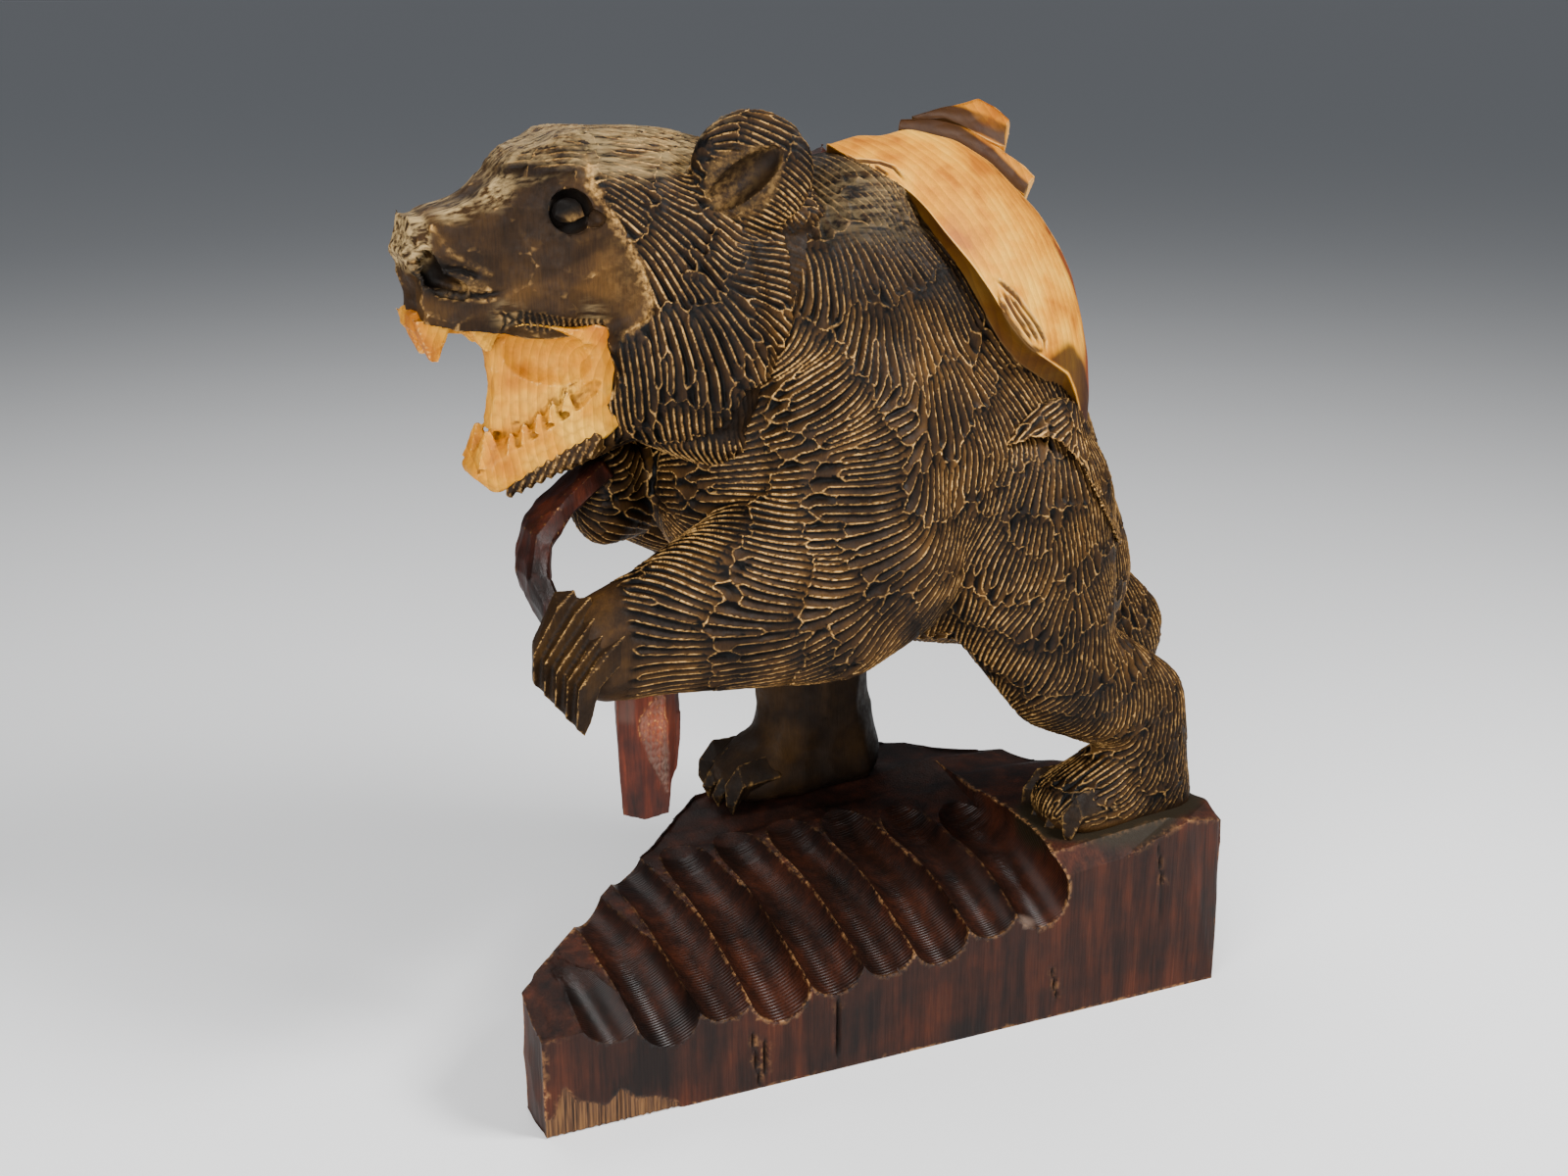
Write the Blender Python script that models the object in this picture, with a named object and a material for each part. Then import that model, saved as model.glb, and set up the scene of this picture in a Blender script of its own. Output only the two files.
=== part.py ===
"""Carved wooden bear on its plinth, all cut from one block.

The bear walks on its hind legs, leans forward and roars, with a salmon on its back.
"""

import math

import bmesh
import bpy
from mathutils import Euler, Matrix, Vector

# Driving sizes, in metres. The plinth and what stands on it are one piece of wood.
PLINTH_LENGTH = 0.356
PLINTH_DEPTH = 0.160
PLINTH_HEIGHT = 0.088
LOW_END_HEIGHT = PLINTH_HEIGHT * 15 / 22
NEAR_EDGE_HEIGHT = PLINTH_HEIGHT * 25 / 44
FLUTE_WIDTH = 0.029
FLUTE_DEPTH = 0.011
FIGURE_HEIGHT = 0.342
WEB_THICKNESS = 0.011
STRAP_WIDTH = 0.024
STRAP_THICKNESS = 0.012
STRAP_END_LENGTH = 0.070
RIGHT_EAR_DROP = 0.016

# The block that a figure of FIGURE_HEIGHT was laid out on. Its points are in millimetres on that block, with
# the soles of the feet at SOLE, and at() turns them into places in the model.
LAYOUT_HEIGHT = 342.0
SOLE = 88.0
SHARE = FIGURE_HEIGHT / LAYOUT_HEIGHT

# How finely the round forms are cut: the grid that melts them into one body, how often it is smoothed, the
# faces kept, and the straight stretches in each flute.
GRID = 0.0023
FIGURE_SMOOTHING = 4
SALMON_SMOOTHING = 3
FIGURE_FACES = 4700
SALMON_FACES = 420
FLUTE_STEPS = 4

# Where each flute ends on the near face, as a share of the plinth's height.
FLUTE_LOW_ENDS = (0.50, 0.40, 0.46, 0.39, 0.47, 0.51, 0.51, 0.60, 0.60)

BEAR = "carved_bear"
MID = -5.0  # where the middle of the plinth's depth lies, in the figure's layout


def at(x, y, z):
    """A place in the model from a point of the layout."""
    return Vector((x * SHARE, (y - MID) * SHARE, PLINTH_HEIGHT + (z - SOLE) * SHARE))


def laid_out(size):
    """A size of the model in the layout's millimetres."""
    return size / SHARE


def empty_scene():
    for obj in list(bpy.data.objects):
        bpy.data.objects.remove(obj)


def stain(name, colour, roughness):
    material = bpy.data.materials.new(name)
    material.use_nodes = True
    shader = material.node_tree.nodes["Principled BSDF"]
    shader.inputs["Base Color"].default_value = (*colour, 1.0)
    shader.inputs["Roughness"].default_value = roughness
    shader.inputs["Metallic"].default_value = 0.0
    return material


def ball(centre, radii, turn=(0, 0, 0), fineness=3):
    """The points of an ellipsoid, in the layout's millimetres; turn is in degrees about X, Y and Z."""
    sphere = bmesh.new()
    bmesh.ops.create_icosphere(sphere, subdivisions=fineness, radius=1.0)
    spin = Euler([math.radians(a) for a in turn]).to_matrix()
    size = Matrix.Diagonal(Vector(radii))
    points = [Vector(centre) + spin @ size @ v.co for v in sphere.verts]
    sphere.free()
    return points


def convex(places):
    """A closed convex solid round places of the model, as a bmesh."""
    solid = bmesh.new()
    for place in places:
        solid.verts.new(place)
    made = bmesh.ops.convex_hull(solid, input=solid.verts[:])
    spare = {v for v in made["geom_interior"] + made["geom_unused"] if isinstance(v, bmesh.types.BMVert)}
    bmesh.ops.delete(solid, geom=list(spare), context="VERTS")
    loose = [v for v in solid.verts if not v.link_faces]
    bmesh.ops.delete(solid, geom=loose, context="VERTS")
    bmesh.ops.recalc_face_normals(solid, faces=solid.faces[:])
    return solid


def hull(points):
    """The convex solid round points of the layout."""
    return convex([at(*p) for p in points])


def limb(*balls):
    """Solids that run from each ball to the next."""
    return [hull(first + second) for first, second in zip(balls, balls[1:])]


def mirrored(solids_of_side):
    """The solids of both sides of the body: solids_of_side takes -1 for the left side and 1 for the right."""
    return solids_of_side(-1) + solids_of_side(1)


def object_of(name, solids):
    """One object from bmesh solids, which it frees."""
    whole = bmesh.new()
    for solid in solids:
        piece = bpy.data.meshes.new(name)
        solid.to_mesh(piece)
        solid.free()
        whole.from_mesh(piece)
        bpy.data.meshes.remove(piece)
    mesh = bpy.data.meshes.new(name)
    whole.to_mesh(mesh)
    whole.free()
    obj = bpy.data.objects.new(name, mesh)
    bpy.context.scene.collection.objects.link(obj)
    return obj


def bake(obj):
    """Replaces the object's mesh by what its modifiers make of it."""
    bpy.context.view_layer.update()
    shaped = bpy.data.meshes.new_from_object(obj.evaluated_get(bpy.context.evaluated_depsgraph_get()))
    obj.modifiers.clear()
    old, obj.data = obj.data, shaped
    bpy.data.meshes.remove(old)
    return obj


def melt(obj, grid, steps):
    """Turns overlapping solids into one skin, with their joints softened."""
    remesh = obj.modifiers.new("one skin", "REMESH")
    remesh.mode = "VOXEL"
    remesh.voxel_size = grid
    soften = obj.modifiers.new("soften", "SMOOTH")
    soften.factor = 0.5
    soften.iterations = steps
    return bake(obj)


def thin_out(obj, faces):
    """Keeps about this many faces, where the form bends most."""
    decimate = obj.modifiers.new("thin out", "DECIMATE")
    decimate.ratio = min(1.0, faces / sum(len(p.vertices) - 2 for p in obj.data.polygons))
    return bake(obj)


def join_with(obj, other, operation="UNION"):
    """Boolean of two closed objects; the second one is used up."""
    boolean = obj.modifiers.new(operation.lower(), "BOOLEAN")
    boolean.operation = operation
    boolean.object = other
    boolean.solver = "EXACT"
    boolean.use_self = True
    bake(obj)
    bpy.data.objects.remove(other)
    return obj


def prism(outline, near, far):
    """A solid with this outline in the X-Z plane of the layout, from near to far along Y."""
    solid = bmesh.new()
    face = solid.faces.new([solid.verts.new(at(x, near, z)) for x, z in outline])
    run = bmesh.ops.extrude_face_region(solid, geom=[face])
    moved = [v for v in run["geom"] if isinstance(v, bmesh.types.BMVert)]
    bmesh.ops.translate(solid, verts=moved, vec=(0, (far - near) * SHARE, 0))
    bmesh.ops.recalc_face_normals(solid, faces=solid.faces[:])
    return solid


def block(centre, halves, turn=(0, 0, 0), chamfer=0.3):
    """The points of a box with chamfered corners, in the layout's millimetres."""
    spin = Euler([math.radians(a) for a in turn]).to_matrix()
    points = []
    for full in range(3):
        for signs in ((x, y, z) for x in (-1, 1) for y in (-1, 1) for z in (-1, 1)):
            share = [1.0 if axis == full else 1.0 - chamfer for axis in range(3)]
            corner = Vector([sign * half * part for sign, half, part in zip(signs, halves, share)])
            points.append(Vector(centre) + spin @ corner)
    return points


def gem(centre, halves, turn=(0, 0, 0)):
    """The six points of an octahedron, for what has a sharp back: a finger, a toe or a claw."""
    spin = Euler([math.radians(a) for a in turn]).to_matrix()
    tips = [spin.col[axis] * sign * halves[axis] for axis in range(3) for sign in (-1, 1)]
    return [Vector(centre) + tip for tip in tips]


def torso():
    hump = ball((-12, 0, 338), (58, 60, 66))
    chest = ball((-38, 0, 268), (52, 58, 62))
    barrel = ball((28, 0, 262), (76, 70, 84))
    rump = ball((84, 0, 238), (54, 62, 72))
    seat = ball((112, 0, 205), (44, 50, 48))
    back = ball((52, 2, 322), (58, 54, 58))
    tail = ball((171, 2, 156), (17, 13, 26), (0, 12, 0))
    root = ball((136, 2, 192), (22, 20, 22))
    trunk = limb(hump, chest, barrel, rump, seat)
    return trunk + limb(hump, back, rump) + limb(hump, barrel) + limb(root, tail)


def head():
    neck = ball((-40, 0, 352), (52, 54, 56))
    crown = ball((-92, 0, 374), (46, 42, 48))
    brow = block((-124, 0, 376), (20, 36, 46), (0, 8, 0), 0.4)
    bridge = block((-156, 0, 365), (14, 26, 35), (0, 6, 0), 0.25)
    snout = block((-186, 0, 362), (8, 19, 27), (0, -3, 0), 0.25)
    jaw_root = ball((-104, 0, 314), (26, 31, 26))
    chin = ball((-130, 0, 288), (18, 20, 9), (0, -30, 0))
    return limb(neck, crown, brow, bridge, snout) + limb(crown, jaw_root, chin) + mirrored(cheek)


def cheek(side):
    ruff = ball((-70, side * 26, 336), (26, 35, 60))
    jowl = ball((-100, side * 14, 330), (28, 31, 40))
    ridge = ball((-127, side * 20, 408), (17, 10, 14), (0, -20, 0))
    return limb(ruff, jowl) + [hull(ridge)]


def nose():
    """The nose pad, a square block that stands a little proud of the muzzle's end."""
    pad = block((-194, 0, 381), (7, 15, 11), (0, 12, 0), 0.25)
    lip = block((-189, 0, 358), (5, 11, 14), (0, -6, 0), 0.3)
    return [hull(pad), hull(pad + lip)]


def ear(side):
    """A rounded ear that stands off the head and faces forwards and outwards; the right one lies lower."""
    drop = laid_out(RIGHT_EAR_DROP) if side > 0 else 0
    root = ball((-60, side * 30, 386 - drop), (17, 12, 16))
    disc = ball((-60, side * 44, 406 - drop), (26, 8, 25), (0, 0, side * 24))
    return limb(root, disc)


def left_arm():
    shoulder = ball((-12, -34, 292), (50, 40, 58))
    upper = ball((-10, -44, 238), (54, 38, 52))
    elbow = ball((-30, -56, 216), (40, 28, 34))
    wrist = ball((-110, -58, 218), (24, 22, 29))
    palm = ball((-135, -60, 214), (18, 19, 24))
    return limb(shoulder, upper, elbow, wrist, palm) + limb(upper, wrist)


def left_fingers():
    """Five fingers folded over the strap, each with a sharp back that runs from its knuckle to its claw."""
    solids = []
    for i in range(5):
        t = i / 4
        knuckle = gem((-150 + 24 * t, -59 - 12 * t, 236 - 12 * t), (7, 9, 7), (0, 35, -40))
        joint = gem((-162 + 14 * t, -64 - 15 * t, 219 - 12 * t), (6, 11, 10), (0, 20, -40))
        claw = gem((-164 + 14 * t, -63 - 12 * t, 205 - 18 * t), (4, 7, 6), (0, -10, -40))
        solids += limb(knuckle, joint, claw)
    return solids


def right_arm():
    shoulder = ball((-14, 36, 292), (48, 36, 54))
    elbow = ball((-46, 56, 238), (32, 22, 32))
    wrist = ball((-90, 34, 258), (24, 20, 26))
    palm = ball((-110, 12, 262), (17, 18, 26))
    return limb(shoulder, elbow, wrist, palm)


def left_leg():
    hip = ball((74, -38, 238), (52, 38, 60))
    knee = ball((92, -54, 170), (28, 25, 32))
    hock = ball((140, -52, 142), (25, 21, 26))
    ankle = ball((148, -52, 108), (21, 20, 22))
    heel = ball((150, -52, 92), (22, 19, 14))
    foot = ball((108, -52, 96), (22, 24, 16))
    instep = ball((126, -52, 110), (16, 17, 14))
    return limb(hip, knee, hock, ankle, heel, foot) + limb(ankle, instep, foot)


def right_leg():
    hip = ball((52, 34, 228), (52, 36, 56))
    knee = ball((8, 46, 168), (32, 24, 32))
    shin = ball((10, 46, 128), (31, 22, 26))
    heel = ball((28, 46, 98), (20, 19, 18))
    foot = ball((-24, 46, 96), (22, 24, 16))
    instep = ball((-10, 46, 110), (16, 18, 15))
    return limb(hip, knee, shin, heel, foot) + limb(shin, instep, foot)


def toes(x, y, spread):
    """Four toes and their claws at the front of a foot whose toes start at x, y."""
    solids = []
    for i in range(4):
        t = i / 3 - 0.5
        root = gem((x + 20, y + 0.8 * spread * t, 100), (10, 8, 11))
        joint = gem((x + 4 - 10 * abs(t), y + spread * t, 99), (8, 7, 10))
        claw = gem((x - 9 + 8 * abs(t), y + spread * t * 1.1, 89), (4, 3.5, 8))
        solids += limb(root, joint, claw)
    return solids


def salmon_body():
    """The fish lies over the left of the back: its flank faces out and up, and its head is behind the ear."""
    head_end = ball((-10, -18, 401), (14, 17, 11), (38, 0, 0))
    gill = ball((16, -25, 398), (22, 35, 16), (40, 8, 6))
    belly = ball((54, -27, 382), (26, 46, 17), (40, 28, 10))
    waist = ball((80, -28, 345), (22, 36, 17), (48, 40, 14))
    tail_root = ball((94, -36, 304), (14, 20, 13), (60, 60, 10))
    return limb(head_end, gill, belly, waist, tail_root)


def salmon_fins():
    """Two lobes of the back fin, and the two lobes of the tail."""
    front_lobe = limb(gem((40, 2, 414), (14, 12, 14)), block((80, 8, 418), (10, 12, 6), (20, 22, 10), 0.4))
    rear_lobe = limb(gem((54, -4, 404), (14, 13, 16)), block((89, 6, 398), (9, 12, 7), (20, 36, 10), 0.4))
    root = gem((96, -42, 298), (14, 20, 13), (60, 60, 10))
    left_tip = gem((60, -60, 284), (13, 11, 9), (20, -10, 0))
    right_tip = gem((126, -37, 221), (10, 15, 11), (0, 0, 50))
    return front_lobe + rear_lobe + limb(root, left_tip) + limb(root, right_tip)


def strap():
    """The carrying strap: a bow from the right paw to the left one, its loose end, and a band over the back."""
    thin = laid_out(STRAP_THICKNESS / 2)
    wide = laid_out(STRAP_WIDTH / 2)
    low = 198 - laid_out(STRAP_END_LENGTH)
    bow = [block((-118, 4, 272), (thin, wide, 9), (0, 50, 0)),
           block((-137, -4, 262), (thin, wide, 7), (0, 55, 0)),
           block((-150, -12, 249), (thin, wide, 7), (0, 20, 0)),
           block((-153, -20, 234), (thin, wide, 7), (0, -8, 0)),
           block((-146, -34, 216), (thin, wide, 7), (0, -25, 0))]
    end = [block((-114, -50, 196), (15, wide, 8), (0, 0, 0), 0.25),
           block((-113, -50, low + 40), (15, wide, 8), (0, 0, 0), 0.25),
           block((-112, -50, low + 4), (11, wide * 0.8, 4), (0, -8, 0), 0.25)]
    band = [gem((-6, 4, 402), (14, 10, 10), (0, 0, 60)),
            gem((-26, 38, 384), (14, 10, 10), (-40, 0, 60)),
            gem((-46, 56, 340), (14, 9, 10), (-10, 0, 60)),
            gem((-72, 50, 298), (14, 9, 10), (0, 0, 70)),
            gem((-100, 24, 278), (14, 9, 10), (0, 0, 80))]
    return limb(*bow) + limb(*end) + limb(*band)


def mouth_opening():
    """What is cut away between the upper lip and the lower jaw."""
    outline = [(-230, 352), (-196, 347), (-152, 338), (-121, 338), (-117, 326), (-119, 312), (-134, 297),
               (-150, 284), (-166, 262), (-230, 240)]
    return [prism(outline, -60, 60)]


def mouth_inside():
    """The web of wood left standing in the mouth, which widens back to the cheeks."""
    thin = laid_out(WEB_THICKNESS / 2)
    lip = [(-162, -thin, 344), (-162, thin, 344), (-120, -32, 344), (-120, 32, 344), (-108, -30, 340),
           (-108, 30, 340)]
    tongue_line = [(-158, -thin, 296), (-158, thin, 296), (-122, -27, 306), (-122, 27, 306), (-110, -24, 300),
                   (-110, 24, 300)]
    return [hull([Vector(p) for p in lip + tongue_line])]


def lower_jaw():
    root = block((-122, 0, 304), (9, 27, 13), (0, -35, 0), 0.3)
    middle = block((-144, 0, 292), (9, 19, 10), (0, -38, 0), 0.3)
    tip = block((-166, 0, 281), (7, 13, 8), (0, -50, 0), 0.3)
    throat_end = ball((-132, 0, 316), (12, 12, 7), (0, -35, 0), 2)
    tongue_tip = ball((-156, 0, 300), (8, 9, 5), (0, -35, 0), 2)
    return limb(root, middle, tip) + limb(throat_end, tongue_tip)


def tooth(x, y, z, length, width):
    """A pointed tooth; a length below nought makes one that hangs down."""
    foot = [Vector((x + a, y + b, z - 0.2 * length)) for a in (-width, width) for b in (-width, width)]
    return hull(foot + [Vector((x - 1, y, z + length))])


def teeth():
    solids = []
    for side in (-1, 1):
        solids.append(tooth(-187, side * 12, 346, -16, 5))
        solids.append(tooth(-165, side * 11, 341, -14, 6))
        solids.append(tooth(-167, side * 8, 287, 14, 4))
        for i in range(5):
            t = i / 4
            solids.append(tooth(-158 + 24 * t, side * (12 + 7 * t), 292 + 16 * t, 7, 3))
    return solids


def hollows(side):
    """The eye socket, the nostril and the hollow of the ear, on one side of the head."""
    drop = laid_out(RIGHT_EAR_DROP) if side > 0 else 0
    socket = ball((-136, side * 35, 391), (9, 6, 6.5), (0, 12, 0), 2)
    nostril = ball((-189, side * 19, 368), (7, 5, 6), (0, 30, 0), 2)
    ear_hollow = ball((-68, side * 51, 403 - drop), (22, 9, 8), (0, -42, side * 24), 2)
    return [hull(socket), hull(nostril), hull(ear_hollow)]


def eyeball(side):
    return [hull(ball((-136, side * 30, 391), (6, 4.5, 4.5), fineness=2))]


def figure():
    solids = torso() + head() + nose() + mirrored(ear)
    solids += left_arm() + right_arm() + left_leg() + right_leg()
    body = thin_out(melt(object_of("figure", solids), GRID, FIGURE_SMOOTHING), FIGURE_FACES)
    join_with(body, object_of("mouth", mouth_opening()), "DIFFERENCE")
    join_with(body, object_of("hollows", mirrored(hollows)), "DIFFERENCE")
    join_with(body, object_of("jaw", mouth_inside() + lower_jaw() + mirrored(eyeball)))
    join_with(body, object_of("teeth", teeth()))
    join_with(body, object_of("digits", left_fingers() + toes(97, -52, 36) + toes(-38, 46, 36)))
    fish = thin_out(melt(object_of("salmon", salmon_body()), GRID, SALMON_SMOOTHING), SALMON_FACES)
    join_with(body, fish)
    join_with(body, object_of("fins and strap", salmon_fins() + strap()))
    return body


def on_plinth(along, across, up):
    """A place on the plinth, in shares of its length, its depth and its height."""
    return Vector((along * PLINTH_LENGTH, across * PLINTH_DEPTH, up * PLINTH_HEIGHT))


def rough_plinth():
    """The wedge of wood, low at the bear's front, with a straight near face and a bulging far one."""
    low = LOW_END_HEIGHT / PLINTH_HEIGHT
    plan = [(-0.495, -0.5), (-0.5, -0.42), (-0.5, -0.33), (-0.15, 0.40), (0.06, 0.5), (0.17, 0.5),
            (0.34, 0.28), (0.5, -0.19), (0.5, -0.46), (0.485, -0.5)]
    top = [(-0.5, -0.44, low), (-0.495, -0.5, low * 0.95), (-0.5, -0.33, low * 1.04), (-0.36, -0.05, 0.83),
           (-0.15, 0.40, 1.0), (0.06, 0.48, 1.02), (0.17, 0.48, 1.02), (0.32, 0.28, 1.0), (0.49, -0.19, 1.0),
           (0.49, -0.40, 1.04), (0.42, -0.5, 1.04), (0.495, -0.47, 0.97)]
    floor = [on_plinth(x, y, 0) for x, y in plan]
    return [convex(floor + [on_plinth(*p) for p in top])]


def near_slopes():
    """What is planed off the top in two slopes along the near face, before the flutes are cut there."""
    edge = NEAR_EDGE_HEIGHT / PLINTH_HEIGHT
    slopes = []
    for across, near_end, far_end in (((-0.6, -0.30), (edge * 0.80, edge * 1.2), (edge * 1.15, edge * 1.6)),
                                      ((-0.6, 0.10), (edge * 1.05, edge * 1.36), (edge * 1.38, edge * 1.72))):
        outline = [(-0.55, across[0], near_end[0]), (-0.55, across[1], near_end[1]),
                   (0.21, across[0], far_end[0]), (0.21, across[1], far_end[1])]
        above = [(x, y, 2.0) for x, y, z in outline]
        slopes.append(convex([on_plinth(*p) for p in outline + above]))
    return slopes


def flute(share, low_end):
    """One sweep of a big gouge, from the far ridge down to the near face; share is its place along the row."""
    radius = (FLUTE_WIDTH ** 2 / 4 + FLUTE_DEPTH ** 2) / (2 * FLUTE_DEPTH)
    high = 0.66 + 0.14 * min(1.0, 2.7 * share)
    across = -0.19 + 0.145 * share + 0.22 * math.sin(math.pi * share)
    start = on_plinth(-0.463 + 0.637 * share, across, high)
    end = on_plinth(-0.410 + 0.607 * share, -0.5, low_end)
    balls = []
    for i in range(FLUTE_STEPS + 2):
        t = i / FLUTE_STEPS
        rise = 0.09 * math.sin(math.pi * t) * PLINTH_HEIGHT
        sphere = bmesh.new()
        bmesh.ops.create_icosphere(sphere, subdivisions=2, radius=radius)
        balls.append([start.lerp(end, t) + Vector((0, 0, rise + radius)) + v.co for v in sphere.verts])
        sphere.free()
    return [convex(first + second) for first, second in zip(balls, balls[1:])]


def flutes():
    solids = []
    for i, low_end in enumerate(FLUTE_LOW_ENDS):
        solids += flute(i / (len(FLUTE_LOW_ENDS) - 1), low_end)
    return solids


def plinth():
    base = object_of("plinth", rough_plinth())
    join_with(base, object_of("slopes", near_slopes()), "DIFFERENCE")
    join_with(base, object_of("flutes", flutes()), "DIFFERENCE")
    return base


def main():
    empty_scene()
    bear = figure()
    join_with(bear, plinth())
    bear.name = BEAR
    bear.data.materials.clear()
    bear.data.materials.append(stain("stained linden", (0.05, 0.035, 0.022), 0.55))


main()
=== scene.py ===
"""The looks of the carved wooden bear: a coat of gouge strokes, bare salmon and mouth, strap and plinth."""

import itertools
import math
import random

import bmesh
import bpy
import numpy as np
from mathutils import Euler, Matrix, Vector
from mathutils.bvhtree import BVHTree
from mathutils.kdtree import KDTree


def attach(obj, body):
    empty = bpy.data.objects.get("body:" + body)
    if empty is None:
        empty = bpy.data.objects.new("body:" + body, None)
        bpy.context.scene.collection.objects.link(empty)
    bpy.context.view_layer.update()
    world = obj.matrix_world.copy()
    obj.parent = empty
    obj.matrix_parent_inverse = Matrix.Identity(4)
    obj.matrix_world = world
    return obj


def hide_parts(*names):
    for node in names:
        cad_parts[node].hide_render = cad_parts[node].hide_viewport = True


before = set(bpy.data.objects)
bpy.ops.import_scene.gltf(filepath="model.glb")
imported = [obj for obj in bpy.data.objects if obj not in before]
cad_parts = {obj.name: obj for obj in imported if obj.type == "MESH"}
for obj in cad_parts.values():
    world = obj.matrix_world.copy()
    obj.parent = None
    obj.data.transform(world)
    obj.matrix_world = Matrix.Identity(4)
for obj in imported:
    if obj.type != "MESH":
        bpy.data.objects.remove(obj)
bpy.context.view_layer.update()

NODE = "carved_bear"

# The block that the carving is laid out on, as in the part's source: millimetres, with the middle of the
# plinth's depth at MID.
SHARE = 0.001
MID = -5.0
PLINTH_LENGTH = 356.0
PLINTH_DEPTH = 160.0
PLINTH_HEIGHT = 88.0
LOW_END_HEIGHT = 60.0
NEAR_EDGE_HEIGHT = 50.0
FLUTE_WIDTH = 29.0
FLUTE_DEPTH = 11.0
RIGHT_EAR_DROP = 16.0

# Grids of the skins, in millimetres: the first two melt the round forms of the body and the head together,
# the others are what the gouge strokes are cut into.
FORM_GRID = 2.3
HEAD_FORM_GRID = 1.7
COAT_GRID = 0.88
HEAD_GRID = 0.82
TAIL_GRID = 0.85
# Where the body's skin is cut into slices, along X, and how many triangles it, the head and the tail keep.
BODY_SLICES = (-28, 34, 96)
BODY_TRIANGLES = 460000
HEAD_TRIANGLES = 180000
TAIL_TRIANGLES = 26000

# A stroke of the small gouge that cut the coat: its width, its depth, how proud its tip stands and the step
# between its places, in millimetres, then how many sets there are, the fewest places, and the cells that
# strokes are found by.
STROKE_WIDTH = 3.4
STROKE_DEPTH = 1.5
STROKE_LIFT = 0.45
STROKE_STEP = 2.0
STROKE_SETS = 6
STROKE_LEAST = 6
STROKE_CELL = 4
# How near a stroke may come to another, in its own widths: where it starts, as it runs on, and where both are
# in one set.
START_ROOM = 0.86
RUN_ROOM = 0.60
SET_ROOM = 1.7
# How softly one guide of the coat blends into the next, in square millimetres.
LIE_BLEND = 20.0
# How long the flutes are taken to be, and how far apart the gouge's chatter in them is, in metres.
FLUTE_RUN = 0.16
CHATTER = 0.0018


# Which way the coat lies at some places of the body: x, y, z and the direction to the tips. Each one holds
# for the same place on the other side, too.
BODY_LIE = (
    (2, -72, 301, -9, -3, -2), (-14, -76, 282, -10, 0, 0), (-23, -77, 266, -10, 2, 1),
    (-15, -80, 255, -10, 0, -2), (-1, -81, 238, -9, -1, -4), (-5, -80, 220, -8, -1, -6),
    (-14, -80, 206, -5, 2, -8), (-40, -83, 212, -9, 1, -4), (-48, -81, 235, -10, 1, 3),
    (-78, -77, 242, -9, 2, 4), (-91, -66, 253, -7, 6, 3), (-103, -74, 240, -8, 5, 4),
    (-114, -79, 226, -9, 2, 3), (-106, -80, 216, -10, 0, 1), (-127, -79, 210, -10, 0, -1),
    (-79, -79, 203, -10, 1, 0), (-52, -58, 290, -7, 7, -2), (-59, -54, 273, -6, 8, -1),
    (-51, -57, 302, -7, 6, -4), (-50, -54, 315, -7, 5, -5), (-34, -60, 327, -8, 2, -5),
    (-89, -40, 294, -8, 6, -2), (-88, -11, 265, -1, 10, -2), (-91, 9, 247, -6, -7, 4),
    (-22, -22, 404, 4, -9, -4), (-10, -36, 397, 6, -6, -4), (-27, -43, 382, 2, -5, -8),
    (-25, -54, 359, 0, -3, -10), (-34, -55, 343, -4, 1, -9), (0, -44, 381, 5, -5, -7),
    (-6, -57, 354, 4, -2, -9), (-14, -60, 338, -3, 0, -10), (16, -51, 360, 5, -2, -8),
    (24, -56, 335, 4, -2, -9), (2, -61, 333, 0, -2, -10), (45, -53, 324, 6, 1, -8),
    (60, -53, 309, 6, -1, -8), (25, -64, 302, 2, -1, -10), (46, -62, 295, 3, -2, -9),
    (14, -67, 303, 0, -2, -10), (18, -70, 277, -1, -2, -10), (28, -69, 267, -2, -1, -10),
    (21, -74, 242, -4, -3, -8), (39, -68, 266, -2, -1, -10), (42, -66, 223, -1, 2, -10),
    (31, -41, 194, 2, 7, -7), (58, -68, 268, -4, -2, -9), (48, -70, 247, -5, 1, -9),
    (66, -74, 246, -2, 0, -10), (81, -75, 244, 2, 0, -10), (76, -76, 218, -4, 0, -9),
    (59, -72, 209, -5, 3, -8), (99, -74, 214, 4, 0, -9), (152, -14, 168, 5, 2, -9),
    (87, -78, 193, -1, -1, -10), (70, -73, 179, -3, 3, -9), (118, -74, 168, 2, -2, -10),
    (172, -9, 175, 4, 0, -9), (81, -75, 159, -6, 5, -6), (138, -73, 139, -1, 1, -10),
    (146, -72, 117, -2, 0, -10), (126, -67, 118, -8, 1, -5), (118, -73, 102, -10, -2, -1),
    (139, -70, 102, -7, 2, -6), (105, -65, 258, 2, -2, -10), (-21, 38, 123, -1, -4, -9),
    (1, 25, 125, 0, 1, -10), (18, 26, 111, -1, 1, -10))
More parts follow.
